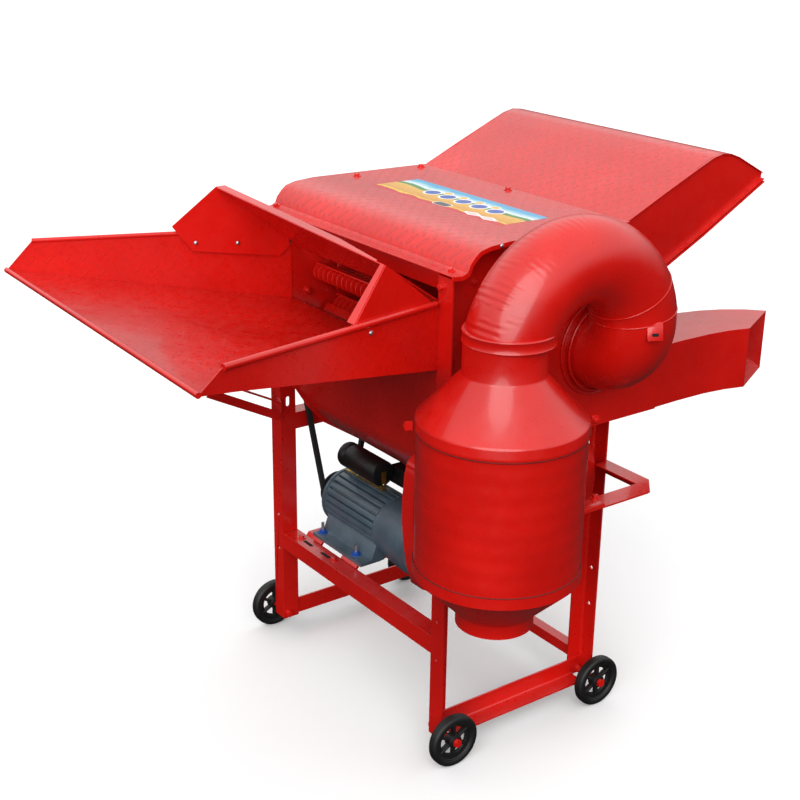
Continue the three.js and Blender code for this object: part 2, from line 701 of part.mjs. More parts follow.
// Belt round two pulleys, with straight tangents between them
function beltSolid(belt, large, r0, small, r1) {
  const distance = Math.hypot(small.x - large.x, small.z - large.z);
  const heading = Math.atan2(small.z - large.z, small.x - large.x) / degree;
  const lean = Math.acos((r0 - r1) / distance) / degree;
  const line = (a, b) => [
    ...circlePoints(large.x, large.z, a, arcs.beltLarge, heading + lean, heading + 360 - lean),
    ...circlePoints(small.x, small.z, b, arcs.beltSmall, heading - lean, heading + lean),
  ];
  const from = belt.y - belt.width / 3 + gap;
  const to = belt.y + belt.width / 3 - gap;
  const outer = solidOf(alongY(line(r0, r1), from, to));
  const hole = solidOf(alongY(line(r0 - belt.wall, r1 - belt.wall), from - overrun, to + overrun));
  return cut(outer, [hole]);
}

const metal = () => finish(colours.steel, 0.45, 0.8);
const dark = () => finish(colours.black, 0.45, 0.3);
const rubber = () => finish(colours.rubber, 0.8, 0);

// Double pulley on the drum's far end, its two grooves joined by a hub
function drumPulleys() {
  const hubOuter = drum.shaft + overrun;
  const hub = discY(drum.x, drum.z, hubOuter, middleBelt.y, mainBelt.y, sides.middle);
  const reach = [middleBelt.y - overrun, mainBelt.y + overrun];
  const bore = discY(drum.x, drum.z, drum.shaft + gap, ...reach, sides.middle);
  return joined([
    pulley(drum, mainBelt, mainBelt.drumRadius, drum.shaft, sides.fine),
    pulley(drum, middleBelt, middleBelt.drumRadius, drum.shaft, sides.middle),
    hub.subtract(bore),
  ]);
}

add('drum_pulley_far', drumPulleys(), dark());
for (const [name, seat, belt, radius, bore, count] of [
  ['drum_pulley_near', drum, fanBelt, fanBelt.drumRadius, drum.shaft, sides.pipe],
  ['motor_pulley', motor, mainBelt, mainBelt.motorRadius, motor.shaft, sides.middle],
  ['auger_pulley', auger, middleBelt, middleBelt.augerRadius, auger.shaft, sides.pipe],
  ['fan_pulley', fan, fanBelt, fanBelt.fanRadius, fan.shaft, sides.middle],
]) {
  add(name, pulley(seat, belt, radius, bore, count), dark());
}
add('main_belt', beltSolid(mainBelt, drum, mainBelt.drumRadius, motor, mainBelt.motorRadius), rubber());
add('middle_belt', beltSolid(
  middleBelt, auger, middleBelt.augerRadius, drum, middleBelt.drumRadius,
), rubber());
add('fan_belt', beltSolid(fanBelt, drum, fanBelt.drumRadius, fan, fanBelt.fanRadius), rubber());

// Motor
function motorBody() {
  const core = discY(motor.x, motor.z, motor.radius, motor.smooth, motor.far, sides.fine);
  const ribs = Array.from({ length: motor.ribs }, (unused, i) => {
    const angle = (i + 0.5) * 2 * Math.PI / motor.ribs;
    const [c, s] = [Math.cos(angle), Math.sin(angle)];
    const half = motor.ribWidth / 2;
    const low = motor.radius - motor.rib;
    const high = motor.radius + motor.rib;
    const outline = [[low, -half], [high, -half], [high, half], [low, half]]
      .map(([r, t]) => [motor.x + r * c - t * s, motor.z + r * s + t * c]);
    return solidOf(alongY(outline, motor.smooth, motor.far));
  });
  const footTop = motor.footBottom + motor.footWall;
  const waist = motor.pedestal;
  const foot = block(
    motor.footLeft, motor.footRight, motor.footNear, motor.footFar, motor.footBottom, footTop,
  );
  const pedestal = block(
    motor.x - waist, motor.x + waist, motor.footNear + overrun, motor.pedestalFar, footTop - sheet,
    motor.z - motor.radius / 4,
  );
  const seat = block(
    terminal.left + sheet, terminal.right - sheet, terminal.near + overrun * 2, terminal.far - sheet,
    motor.z, terminal.gasket - gap,
  );
  const pad = block(
    capacitor.x - capacitor.strapWidth, capacitor.x + capacitor.strapWidth, capacitor.near, capacitor.far,
    motor.z, motor.z + motor.radius + motor.rib,
  );
  const boreReach = [motor.far - 2 * overrun, motor.far + overrun];
  const bore = discY(motor.x, motor.z, motor.shaft + gap, ...boreReach, sides.middle);
  const around = motor.radius + motor.rib + 2 * gap;
  const before = discY(motor.x, motor.z, around, motor.footNear - overrun, motor.smooth, sides.fine);
  return cut(joined([core, ...ribs, foot, pedestal, seat, pad]), [bore, before]);
}

function motorShield() {
  const outer = motor.radius + motor.rib;
  const depth = motor.shield - motor.far - gap;
  const face = shieldShares.map(([r, z]) => [outer * r, depth * z]);
  const profile = [[motor.shaft + gap, 0], ...face, [motor.shaft + gap, depth]];
  return turnedY(profile, sides.fine, motor.x, motor.far + gap, motor.z);
}

// Cowl with a rounded edge
function motorCowl() {
  const outer = motor.radius + motor.rib;
  const depth = motor.smooth - gap - motor.near;
  const edge = cowlShares.map(([r, z]) => [outer * r, overrun * z]);
  const profile = [[0, depth], [outer, depth], ...edge, [0, 0]].map(([r, z]) => new THREE.Vector2(r, z));
  const body = solidOf(new THREE.LatheGeometry(profile.reverse(), sides.fine));
  return body.translate(motor.x, motor.near, motor.z);
}

const motorPaint = () => finish(colours.motor, 0.5, 0.1);
add('motor_body', motorBody(), motorPaint());
add('motor_shield', motorShield(), motorPaint());
add('motor_cowl', motorCowl(), motorPaint());
add('motor_shaft', discY(
  motor.x, motor.z, motor.shaft, motor.far - overrun, farPulleyFace, sides.middle,
), metal());

// Strip bolted under both middle rails and stepped up between them, to carry the motor's foot
function stripSolid(edge) {
  const high = rail.mid + gap;
  const low = rail.mid - stand.wall - gap - strip.wall;
  const half = [[strip.left, low], [strip.step, low], [strip.step + strip.rise, high]];
  const line = [...half, ...half.map(([x, z]) => [stand.length - x, z]).reverse()];
  return solidOf(alongY(sheetOutline(line, strip.wall), edge, edge + strip.width));
}

add('motor_strip_near', stripSolid(strip.nearEdge), red());
add('motor_strip_far', stripSolid(strip.farEdge), red());

add('capacitor', discY(
  capacitor.x, capacitor.z, capacitor.radius, capacitor.near, capacitor.far, sides.middle,
), dark());

// Strap under the capacitor, turned up over its near end
function strapSolid() {
  const y0 = capacitor.near - gap - capacitor.strapWall;
  const half = capacitor.strapWidth / 2;
  const foot = motor.z + motor.radius + motor.rib + gap;
  const x = capacitor.x;
  return joined([
    block(x - half, x + half, y0, y0 + capacitor.strapWall, foot, capacitor.z + half),
    block(x - half, x + half, y0, capacitor.far, foot, foot + capacitor.strapWall),
  ]);
}

add('capacitor_strap', strapSolid(), finish(colours.gold, 0.4, 0.9));

add('terminal_box', block(
  terminal.left, terminal.right, terminal.near, terminal.far,
  terminal.gasket, terminal.gasket + terminal.height,
), dark());

// Fan: scroll housing that opens to +X, rotor and shaft
function scrollPoints(grow) {
  return Array.from({ length: arcs.scroll }, (unused, i) => {
    const share = i / (arcs.scroll - 1);
    const radius = fan.startRadius + (fan.endRadius - fan.startRadius) * share ** scroll.power + grow;
    const angle = (scroll.fromDegrees + (scroll.toDegrees - scroll.fromDegrees) * share) * degree;
    return [fan.x + radius * Math.cos(angle), fan.z + radius * Math.sin(angle)];
  });
}

function fanHousing() {
  const shell = (grow, near, far, outlet) => solidOf(alongY([
    ...scrollPoints(grow), [outlet, fan.outletBottom - grow], [outlet, fan.outletTop + grow],
  ], near, far));
  const outer = shell(0, fan.near, fan.far, fan.outlet);
  const inner = shell(-sheet, fan.near + sheet, fan.far - sheet, fan.outlet + overrun);
  const port = turnedY([
    [fan.port - sheet, 0], [collar.radius, 0], [collar.radius, collar.depth + sheet],
    [fan.port - sheet, collar.depth + sheet],
  ], sides.fine, fan.x, fan.near - collar.depth, fan.z);
  return cut(outer.add(port), [
    inner,
    discY(fan.x, fan.z, fan.port - sheet, fan.near - overrun, fan.near + overrun, sides.middle),
    discY(fan.x, fan.z, fan.shaft + 4 * gap, fan.far - overrun, fan.far + overrun, sides.middle),
  ]);
}

add('fan_housing', fanHousing(), red());

// Fan rotor: paddles and hub welded to their shaft
function fanRotor() {
  const hub = fan.shaft + overrun;
  const blades = bladeRotor(
    fan.x, fan.z, fan.rotorNear, fan.rotorFar, hub, fan.rotor, fan.blades, sheet, fan.shaft - sheet,
  );
  const shaftFrom = fan.rotorNear - 2 * sheet;
  return blades.add(discY(fan.x, fan.z, fan.shaft, shaftFrom, chamber.near - 2 * gap, sides.middle));
}

add('fan_rotor', fanRotor(), metal());

// A line with both its ends drawn out
function prolonged(line, reach) {
  const drawn = ([px, py], [qx, qy]) => {
    const share = reach / Math.hypot(qx - px, qy - py);
    return [px - (qx - px) * share, py - (qy - py) * share];
  };
  const last = line.length - 1;
  return [drawn(line[0], line[1]), ...line.slice(1, last), drawn(line[last], line[last - 1])];
}

// Chaff duct: square section, widening on the far side, then bent toward the near one
function ductSolid() {
  const [bottom, top] = [fan.outletBottom, fan.outletTop];
  const outer = solidOf(alongZ([...ductNear, ...[...ductFar].reverse()], bottom, top));
  const nearFace = prolonged(offsetLine(ductNear, sheet), overrun);
  const farFace = prolonged(offsetLine(ductFar, -sheet), overrun);
  return cut(outer, [solidOf(alongZ([...nearFace, ...farFace.reverse()], bottom + sheet, top - sheet))]);
}

add('chaff_duct', ductSolid(), red());

// Rings and shells of the grain cylinder
function cylinderShell(line, wall) {
  return turned([...line, ...offsetLine(line, wall).reverse()], sides.fine)
    .translate(cylinder.x, cylinder.y, 0);
}

const cylinderInlet = () => block(
  inlet.left + 2 * sheet, inlet.right - 2 * sheet, cylinder.y + cylinder.radius / 2, 0,
  inlet.bottom + 2 * sheet, inlet.top - 2 * sheet,
);

function cylinderParts() {
  const { radius, band, lap } = cylinder;
  const wide = radius + sheet + gap;
  add('cylinder_top', cylinderShell([
    [wide, band], [wide, cylinder.shoulder], [cylinder.neck, cylinder.coneTop],
    [cylinder.neck, cylinder.neckTop - gap],
  ], sheet), red());
  const shell = cylinderShell([[radius, cylinder.seam - lap], [radius, band + lap]], sheet);
  const top = bracket.z + gap;
  const earPlate = block(cylinder.x, ear.right, ear.near, ear.far, top, top + ear.wall);
  const inside = turned([
    [0, cylinder.seam], [radius - sheet, cylinder.seam], [radius - sheet, band], [0, band],
  ], sides.fine).translate(cylinder.x, cylinder.y, 0);
  add('cylinder_body', cut(shell.add(earPlate.subtract(inside)), [cylinderInlet()]), red());
  add('cylinder_base', cylinderShell([
    [cylinder.spout, cylinder.bottom], [cylinder.spout, cylinder.coneBottom], [wide, cylinder.rim],
    [wide, cylinder.seam],
  ], sheet), red());
}

cylinderParts();

// Circular arc in the plane of X and Z, climbing from its start and bending toward +X
class BendArc extends THREE.Curve {
  constructor(centreX, y, centreZ, radius, from, to) {
    super();
    Object.assign(this, { centreX, y, centreZ, radius, from, to });
  }

  getPoint(share, target = new THREE.Vector3()) {
    const angle = (180 - this.from - (this.to - this.from) * share) * degree;
    return target.set(
      this.centreX + this.radius * Math.cos(angle), this.y, this.centreZ + this.radius * Math.sin(angle),
    );
  }
}

// Pipe along a curve: a ring section swept from end to end, or a full one without a wall
function pipeAlong(curve, steps, radius, wall) {
  const shape = shapeOf(circlePoints(0, 0, radius, sides.pipe));
  const bore = shapeOf(circlePoints(0, 0, radius - wall, sides.pipe));
  if (wall) shape.holes.push(new THREE.Path(bore.getPoints()));
  return solidOf(new THREE.ExtrudeGeometry(shape, { steps, extrudePath: curve, bevelEnabled: false }));
}

function vector(x, y, z) {
  return new THREE.Vector3(x, y, z);
}

// Three shells from the cylinder's neck to the fan's port, each starting a gap after the last
function bendParts() {
  const { pipe, wall, radius, degrees, gore, neckTop } = bend;
  const centreX = cylinder.x + bend.shift + radius;
  const upperArc = new BendArc(centreX, cylinder.y, neckTop, radius, 0, degrees);
  const longer = new BendArc(centreX, cylinder.y, neckTop, radius, 0, degrees + bend.spare);
  const bead = turned([
    [0, 0], [pipe + bend.bead, 0], [pipe + bend.bead, bend.collarHeight], [0, bend.collarHeight],
  ], sides.fine).translate(cylinder.x + bend.shift + bend.lean, cylinder.y, cylinder.neckTop);
  const swept = pipeAlong(upperArc, arcs.bend, pipe, 0).trimByPlane([0, 0, 1], cylinder.neckTop);
  const bore = pipeAlong(longer, arcs.bend, pipe - wall, 0);
  add('bend_upper', swept.add(bead).subtract(bore), red());

  const start = upperArc.getPoint(1);
  const heading = upperArc.getTangent(1);
  const steep = heading.clone().applyAxisAngle(vector(0, 1, 0), bend.goreTurn * degree);
  const middle = heading.clone().add(steep).normalize();
  const from = start.clone().addScaledVector(heading, gap);
  const to = start.clone().addScaledVector(middle, gore);
  const goreCurve = new THREE.CubicBezierCurve3(
    from, from.clone().addScaledVector(heading, gore / 3), to.clone().addScaledVector(steep, -gore / 3), to,
  );
  add('bend_gore', pipeAlong(goreCurve, arcs.gore, pipe, wall), red());

  const elbowFrom = to.clone().addScaledVector(steep, gap);
  const elbowTo = vector(fan.x, bend.endY, fan.z);
  const pull = bend.elbowPull;
  const elbow = new THREE.CubicBezierCurve3(
    elbowFrom, elbowFrom.clone().addScaledVector(steep, pull),
    elbowTo.clone().add(vector(0, -pull, 0)), elbowTo,
  );
  add('bend_lower', pipeAlong(elbow, arcs.elbow, pipe, wall), red());
}

bendParts();

// Bracket: cross angle under the cylinder's ear, welded to an arm from the rear leg, its corner cut off
function bracketSolid() {
  const { near, far, z, height, wall, left, armX, armWidth, cornerX } = bracket;
  const outer = armX + wall;
  const legEnd = nearLegY - stand.wall;
  const plan = [
    [left, near], [cornerX, near], [outer, far], [outer, legEnd], [armX, legEnd], [armX, -gap],
    [outer - armWidth, -gap], [outer - armWidth, far], [left, far],
  ];
  const flange = [[left, far - wall], [armX, far - wall], [outer, far], [left, far]];
  return joined([
    solidOf(alongZ(plan, z - wall, z)),
    solidOf(alongZ(flange, z - height, z)),
    block(armX, outer, far, legEnd, z - height, z),
  ]);
}

add('cylinder_bracket', bracketSolid(), red());

// Straw chute: top sheet, two side plates with a narrow outward flange, open below
function chuteSolid() {
  const side = [...chuteTop, ...chuteFoot];
  const foot = sheetOutline([...chuteFoot].reverse(), sheet);
  return joined([
    solidOf(alongY(sheetOutline(chuteTop, -sheet), chute.near, chute.far)),
    solidOf(alongY(side, chute.near, chute.near + sheet)),
    solidOf(alongY(side, chute.far - sheet, chute.far)),
    solidOf(alongY(foot, chute.near - chute.lip, chute.near + sheet)),
    solidOf(alongY(foot, chute.far - sheet, chute.far + chute.lip)),
  ]);
}

add('straw_chute', chuteSolid(), red());

// Feed tray: flared floor and walls with rolled rims
const trayWalls = {
  near: [
    [tray.rear, tray.nearRear, tray.floorRear - tray.skirt], [tray.front, tray.nearFront, tray.floorFront],
    ...trayNearTop,
  ],
  far: [
    [tray.rear, tray.farRear, tray.floorRear - tray.skirt], [tray.front, tray.farFront, tray.floorFront],
    ...trayFarTop,
  ],
};

// Y of a wall's outer face above a place in plan, moved inward by an inset
function wallY(wall, x, z, inset) {
  const [a, b, c] = [wall[0], wall[1], wall[wall.length - 1]].map((p) => vector(...p));
  const n = b.sub(a).cross(c.sub(a)).normalize();
  const level = a.y - (n.x * (x - a.x) + n.z * (z - a.z)) / n.y;
  return level + inset / n.y;
}

function traySolid() {
  const nearWall = panel(trayWalls.near, sheet);
  const farWall = panel(trayWalls.far, -sheet);
  const floor = panel([
    [tray.rear, tray.farRear, tray.floorRear], [tray.rear, tray.nearRear, tray.floorRear],
    [tray.front, tray.nearFront, tray.floorFront], [tray.front, tray.farFront, tray.floorFront],
  ], sheet);
  const rims = [trayNearTop, trayFarTop].flatMap((line) => {
    const [before, last] = line.slice(-2).map((p) => vector(...p));
    const back = last.clone().sub(before).setLength(tray.rim + 2 * gap);
    const ends = [...line.slice(0, -1), last.sub(back).toArray()];
    return ends.slice(1).map((point, i) => rod(ends[i], point, tray.rim, sides.tiny));
  });
  const lip = rod(
    [tray.front, tray.nearFront, tray.floorFront], [tray.front, tray.farFront, tray.floorFront],
    tray.rim, sides.tiny,
  );
  return joined([floor, nearWall, farWall, lip, ...rims]);
}

add('feed_tray', traySolid(), red());

// Feed guard: a wing inside each wall and a sheet that slopes down between them
function guardSolid() {
  const inset = sheet + tray.rim + gap;
  const place = (wall, sign, [x, z]) => [x, wallY(wall, x, z, sign * inset), z];
  const nearWing = guard.nearWing.map((p) => place(trayWalls.near, 1, p));
  const farWing = guard.farWing.map((p) => place(trayWalls.far, -1, p));
  const lowNear = [guard.lowX, innerNear + sheet, guard.lowEdge];
  const lowFar = [guard.lowX, innerFar - sheet, guard.lowEdge];
  const whole = joined([
    panel(nearWing, sheet), panel(farWing, sheet),
    panel([nearWing[0], lowNear, farWing[0]], -sheet), panel([lowNear, lowFar, farWing[0]], -sheet),
  ]);
  const [low0, high0] = [guard.nearWing[2][1], guard.farWing[0][1] + overrun];
  return cut(whole, [
    block(tray.rear, guard.lowX + overrun, tray.nearFront, innerNear, low0, high0),
    block(tray.rear, guard.lowX + overrun, innerFar, tray.farFront, low0, high0),
  ]);
}

add('feed_guard', guardSolid(), red());

// Stay under the tray's far side: foot on the leg, rising arm and upright to the wall
function staySolid() {
  const { width, wall, footZ, kneeX, kneeZ, footHeight, topZ } = stay;
  const near = wallY(trayWalls.far, kneeX - wall, topZ, 0) + 3 * gap;
  const line = [[-gap, footZ], [kneeX, kneeZ]];
  const side = alongY(sheetOutline(line, width), near, near + wall);
  const upper = line.map(([x, z]) => [x, z + width]);
  const top = alongY(sheetOutline(upper, -wall), near, near + width);
  const foot = block(-gap - wall, -gap, near, near + width, footZ, footZ + footHeight);
  const post = block(kneeX - wall, kneeX + wall, near, near + width, kneeZ, topZ);
  const legSide = block(
    -gap, stand.angle, near - overrun, near + width + overrun, footZ - width, kneeZ + width,
  );
  return joined([solidOf(side), solidOf(top), foot, post]).subtract(legSide);
}

add('tray_stay', staySolid(), red());

machine.updateMatrixWorld(true);
const bounds = new THREE.Box3().setFromObject(machine);
const centre = bounds.getCenter(new THREE.Vector3());
machine.position.set(-centre.x, -centre.y, -bounds.min.z);

export default machine;
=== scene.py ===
import json
import math
from functools import partial

import bmesh
import bpy
from mathutils import Matrix, Vector

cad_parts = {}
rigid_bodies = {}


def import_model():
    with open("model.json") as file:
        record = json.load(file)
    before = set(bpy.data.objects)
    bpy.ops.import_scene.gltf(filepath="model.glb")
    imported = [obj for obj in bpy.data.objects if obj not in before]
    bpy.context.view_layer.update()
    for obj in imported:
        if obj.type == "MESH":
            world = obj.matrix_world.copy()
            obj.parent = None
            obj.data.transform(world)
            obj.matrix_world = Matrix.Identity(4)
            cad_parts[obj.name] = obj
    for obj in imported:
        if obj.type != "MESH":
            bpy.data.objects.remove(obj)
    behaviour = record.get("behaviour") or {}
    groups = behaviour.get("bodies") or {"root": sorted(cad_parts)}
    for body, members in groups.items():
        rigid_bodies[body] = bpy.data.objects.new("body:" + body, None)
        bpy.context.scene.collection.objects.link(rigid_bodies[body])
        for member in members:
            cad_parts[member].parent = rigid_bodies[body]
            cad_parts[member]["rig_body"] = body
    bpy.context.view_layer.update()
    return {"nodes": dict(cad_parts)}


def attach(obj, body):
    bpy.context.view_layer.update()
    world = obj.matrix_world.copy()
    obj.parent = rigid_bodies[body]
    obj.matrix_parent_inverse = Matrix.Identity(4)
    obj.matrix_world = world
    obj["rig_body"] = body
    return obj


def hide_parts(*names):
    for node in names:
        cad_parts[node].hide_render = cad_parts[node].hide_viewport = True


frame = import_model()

# The part's own drawing is in millimetres from the outer corner of the near front leg
drawingCorner = {"x": 141.2679, "y": 195.35}
weldReach = 1e-6
up, along = (0, 0, 1), (0, 1, 0)


def placed(x, y, z):
    return Vector(((x - drawingCorner["x"]) / 1000, (y - drawingCorner["y"]) / 1000, z / 1000))


def mm(size):
    return size / 1000


def colourOf(hexText):
    values = [int(hexText[i:i + 2], 16) / 255 for i in (0, 2, 4)]
    linear = [v / 12.92 if v <= 0.04045 else ((v + 0.055) / 1.055) ** 2.4 for v in values]
    return (*linear, 1)


# One node with its settings; a link may be a socket, a node (its first output) or a plain value
def addNode(tree, kind, links=None, **settings):
    node = tree.nodes.new("ShaderNode" + kind)
    for name, value in settings.items():
        setattr(node, name, value)
    for key, value in (links or {}).items():
        if isinstance(value, bpy.types.Node):
            tree.links.new(value.outputs[0], node.inputs[key])
        elif isinstance(value, bpy.types.NodeSocket):
            tree.links.new(value, node.inputs[key])
        else:
            node.inputs[key].default_value = value
    return node


# A new finish: its material, the helper above bound to its tree, and the place on the object
def startFinish(name):
    material = bpy.data.materials.new(name)
    material.use_nodes = True
    material.node_tree.nodes.clear()
    add = partial(addNode, material.node_tree)
    return material, add, add("TexCoord").outputs["Object"]


def endFinish(add, surface):
    add("OutputMaterial", {"Surface": add("BsdfPrincipled", surface)})


# Colours of a ramp, in the order of their places
def fillRamp(ramp, stops):
    while len(ramp.elements) < len(stops):
        ramp.elements.new(0.5)
    for element, (position, colour) in zip(ramp.elements, stops):
        element.position = position
        element.color = colour


# Tear-drop tread, lugs that lie crosswise in turn on a square net over the sheet's own plane: below 1
# on a lug, more beside it. A lug's half lengths are shares of a square, its pitch and depth millimetres,
# and a face whose normal rises over "level" counts as lying flat
treadSheet = {"pitch": 24, "long": 0.4, "broad": 0.1, "level": 0.42, "strength": 0.6, "depth": 1.0}


def treadRing(add, place):
    side = add("SeparateXYZ", {0: add("VectorMath", {0: add("NewGeometry").outputs["Normal"]},
                                      operation="ABSOLUTE")})
    upward = add("Math", {0: side.outputs["Z"], 1: treadSheet["level"]}, operation="GREATER_THAN")
    across = add("Math", {0: side.outputs["Y"], 1: side.outputs["X"]}, operation="GREATER_THAN")
    spot = add("SeparateXYZ", {0: place})
    flank = add("Mix", {0: across, 2: spot.outputs["Y"], 3: spot.outputs["X"]})
    first = add("Mix", {0: upward, 2: flank, 3: spot.outputs["X"]})
    second = add("Mix", {0: upward, 2: spot.outputs["Z"], 3: spot.outputs["Y"]})
    net = 1 / (mm(treadSheet["pitch"]) * math.sqrt(2))
    cells, parts = [], []
    for diagonal in ("ADD", "SUBTRACT"):
        both = add("Math", {0: first, 1: second}, operation=diagonal)
        count = add("Math", {0: both, 1: net}, operation="MULTIPLY")
        cells.append(add("Math", {0: count}, operation="FLOOR"))
        rest = add("Math", {0: count}, operation="FRACT")
        parts.append(add("Math", {0: rest, 1: 0.5}, operation="SUBTRACT"))
    cell = add("Math", {0: cells[0], 1: cells[1]}, operation="ADD")
    turn = add("Math", {0: cell, 1: 2.0}, operation="FLOORED_MODULO")
    squares = []
    for one, other, size in ((0, 1, "long"), (1, 0, "broad")):
        reach = add("Mix", {0: turn, 2: parts[one], 3: parts[other]})
        share = add("Math", {0: reach, 1: treadSheet[size]}, operation="DIVIDE")
        squares.append(add("Math", {0: share, 1: 2.0}, operation="POWER"))
    return add("Math", {0: squares[0], 1: squares[1]}, operation="ADD")


# Faint rolled waves round the grain cylinder, and wrinkles where the bend's pipe was pushed round
ribbing = {"pitch": 36, "strength": 0.36, "depth": 1}
crimping = {"waves": 105.0, "patch": 26.0, "inner": 200, "outer": 225, "level": 40, "climb": -60,
            "strength": 0.5, "depth": 1.2}

# Sprayed red enamel on pressed steel sheet: even gloss, slight orange peel, soft dents that bend
# the reflections, a few dull patches, and paler pink patches on upward faces that are dust with painted sheen
# of the light from above. Scales are patterns to the metre, depths millimetres
enamel = {"red": "D6140B", "deep": "BC0E07", "dustAndSheenTone": "CB3A30", "speck": "D2564C", "roughness": 0.24,
          "dull": 0.4, "peel": 0.04, "peelDepth": 0.5, "dent": 0.6, "dentDepth": 4, "coat": 0.45,
          "coatRoughness": 0.1, "cloudScale": 3.5, "fineScale": 38.0, "speckScale": 210.0,
          "peelScale": 420.0, "dentScale": 9.0}


def redEnamel(name, relief=""):
    material, add, place = startFinish(name)
    broad = add("TexNoise", {"Vector": place, "Scale": enamel["cloudScale"], "Detail": 4.0})
    fine = add("TexNoise", {"Vector": place, "Scale": enamel["fineScale"], "Detail": 6.0, "Roughness": 0.65})
    tone = add("Mix", {0: add("MapRange", {0: broad, 1: 0.35, 2: 0.65}), 6: colourOf(enamel["deep"]),
                       7: colourOf(enamel["red"])}, data_type="RGBA")
    upward = add("SeparateXYZ", {0: add("NewGeometry").outputs["Normal"]})
    # upward faces paler and pinker in patches: dust, with painted sheen of the light falling from above
    dustAndSheen = add("Math", {0: add("MapRange", {0: upward.outputs["Z"], 1: 0.5, 2: 1.0, 4: 0.35}),
                         1: add("MapRange", {0: fine, 1: 0.42, 2: 0.7})}, operation="MULTIPLY")
    dustedAndSheened = add("Mix", {0: dustAndSheen, 6: tone.outputs[2], 7: colourOf(enamel["dustAndSheenTone"])}, data_type="RGBA")
    specks = add("TexNoise", {"Vector": place, "Scale": enamel["speckScale"], "Detail": 3.0})
    rubbed = add("MapRange", {0: specks, 1: 0.72, 2: 0.8, 4: 0.1})
    colour = add("Mix", {0: rubbed, 6: dustedAndSheened.outputs[2], 7: colourOf(enamel["speck"])}, data_type="RGBA")
    gloss = add("MapRange", {0: fine, 1: 0.3, 2: 0.75, 3: enamel["roughness"], 4: enamel["dull"]})
    peel = add("TexNoise", {"Vector": place, "Scale": enamel["peelScale"], "Detail": 2.0})
    dent = add("TexNoise", {"Vector": place, "Scale": enamel["dentScale"], "Detail": 2.0})
    bent = add("Bump", {"Height": dent, "Strength": enamel["dent"], "Distance": mm(enamel["dentDepth"])})
    face = add("Bump", {"Height": peel, "Strength": enamel["peel"], "Distance": mm(enamel["peelDepth"]),
                        "Normal": bent})
    shape = {}
    if relief == "tread":  # lugs worn lower in places, with a dark ring round each lug's foot that is grime and painted shade
        shape = treadSheet
        ring = treadRing(add, place)
        level = add("Math", {0: upward.outputs["Z"]}, operation="ABSOLUTE")
        worn = add("Math", {0: add("MapRange", {0: broad, 1: 0.35, 2: 0.6, 3: 0.4, 4: 1.0}),
                            1: add("MapRange", {0: level, 1: 0.15, 2: 0.6, 3: 0.35, 4: 1.0})},
                   operation="MULTIPLY")
        lug = add("MapRange", {0: ring, 1: 1.0, 2: 0.0, 3: 0.0, 4: 1.0}, interpolation_type="SMOOTHSTEP")
        height = add("Math", {0: lug, 1: worn}, operation="MULTIPLY")
        # a dark ring just beside each lug darkens the paint: painted shade at the lug's foot, with grime
        beside = add("Math", {0: add("Math", {0: ring, 1: 1.7}, operation="SUBTRACT")}, operation="ABSOLUTE")
        outline = add("MapRange", {0: beside, 1: 0.2, 2: 1.1, 3: 0.6, 4: 1.0})
        lugShadeAndGrime = add("Mix", {0: 1.0, 6: colour.outputs[2], 7: outline}, data_type="RGBA",
                    blend_type="MULTIPLY")
        colour = add("Mix", {0: worn, 6: colour.outputs[2], 7: lugShadeAndGrime.outputs[2]}, data_type="RGBA")
    if relief == "ribs":
        shape = ribbing
        spot = add("SeparateXYZ", {0: place})
        wave = add("Math", {0: add("Math", {0: spot.outputs["Z"], 1: 2 * math.pi / mm(ribbing["pitch"])},
                                   operation="MULTIPLY")}, operation="SINE")
        height = add("Math", {0: wave, 1: broad}, operation="MULTIPLY")
    if relief == "crimps":
        shape = crimping
        centre = placed(bendShape["centreX"], 0, bendShape["neckTop"])
        spot = add("SeparateXYZ", {0: add("Mapping", {"Vector": place,
                                                      "Location": (-centre.x, 0.0, -centre.z)})})
        turn = add("Math", {0: spot.outputs["Z"], 1: spot.outputs["X"]}, operation="ARCTAN2")
        wave = add("Math", {0: add("Math", {0: turn, 1: crimping["waves"]}, operation="MULTIPLY")},
                   operation="SINE")
        patch = add("TexNoise", {"Vector": place, "Scale": crimping["patch"], "Detail": 1.0})
        reach = add("VectorMath", {0: add("CombineXYZ", {0: spot.outputs["X"], 1: spot.outputs["Z"]})},
                    operation="LENGTH")
        outer = add("MapRange", {0: reach.outputs["Value"], 1: mm(crimping["inner"]),
                                 2: mm(crimping["outer"])})
        climbing = add("MapRange", {0: spot.outputs["X"], 1: mm(crimping["level"]),
                                    2: mm(crimping["climb"])})
        height = wave
        for share in (add("MapRange", {0: patch, 1: 0.42, 2: 0.6}), outer, climbing):
            height = add("Math", {0: height, 1: share}, operation="MULTIPLY")
    if relief:
        face = add("Bump", {"Height": height, "Strength": shape["strength"], "Distance": mm(shape["depth"]),
                            "Normal": face})
    endFinish(add, {"Base Color": colour.outputs[2], "Roughness": gloss, "Normal": face,
                    "Coat Weight": enamel["coat"], "Coat Roughness": enamel["coatRoughness"],
                    "Coat IOR": 1.5})
    return material


# A plain painted, moulded or metal finish: two close tones, a grain and a roughness range
def grainedFinish(name, tone, other, roughness, metal=0.0, grain=300.0, relief=0.2, depth=0.3, coat=0.0):
    material, add, place = startFinish(name)
    cloud = add("TexNoise", {"Vector": place, "Scale": 22.0, "Detail": 5.0})
    speck = add("TexNoise", {"Vector": place, "Scale": grain, "Detail": 3.0})
    colour = add("Mix", {0: add("MapRange", {0: cloud, 1: 0.35, 2: 0.7}), 6: colourOf(tone),
                         7: colourOf(other)}, data_type="RGBA")
    gloss = add("MapRange", {0: cloud, 1: 0.3, 2: 0.7, 3: roughness, 4: min(roughness + 0.15, 1)})
    face = add("Bump", {"Height": speck, "Strength": relief, "Distance": mm(depth)})
    endFinish(add, {"Base Color": colour.outputs[2], "Roughness": gloss, "Normal": face,
                    "Metallic": metal, "Coat Weight": coat, "Coat Roughness": 0.08})
    return material


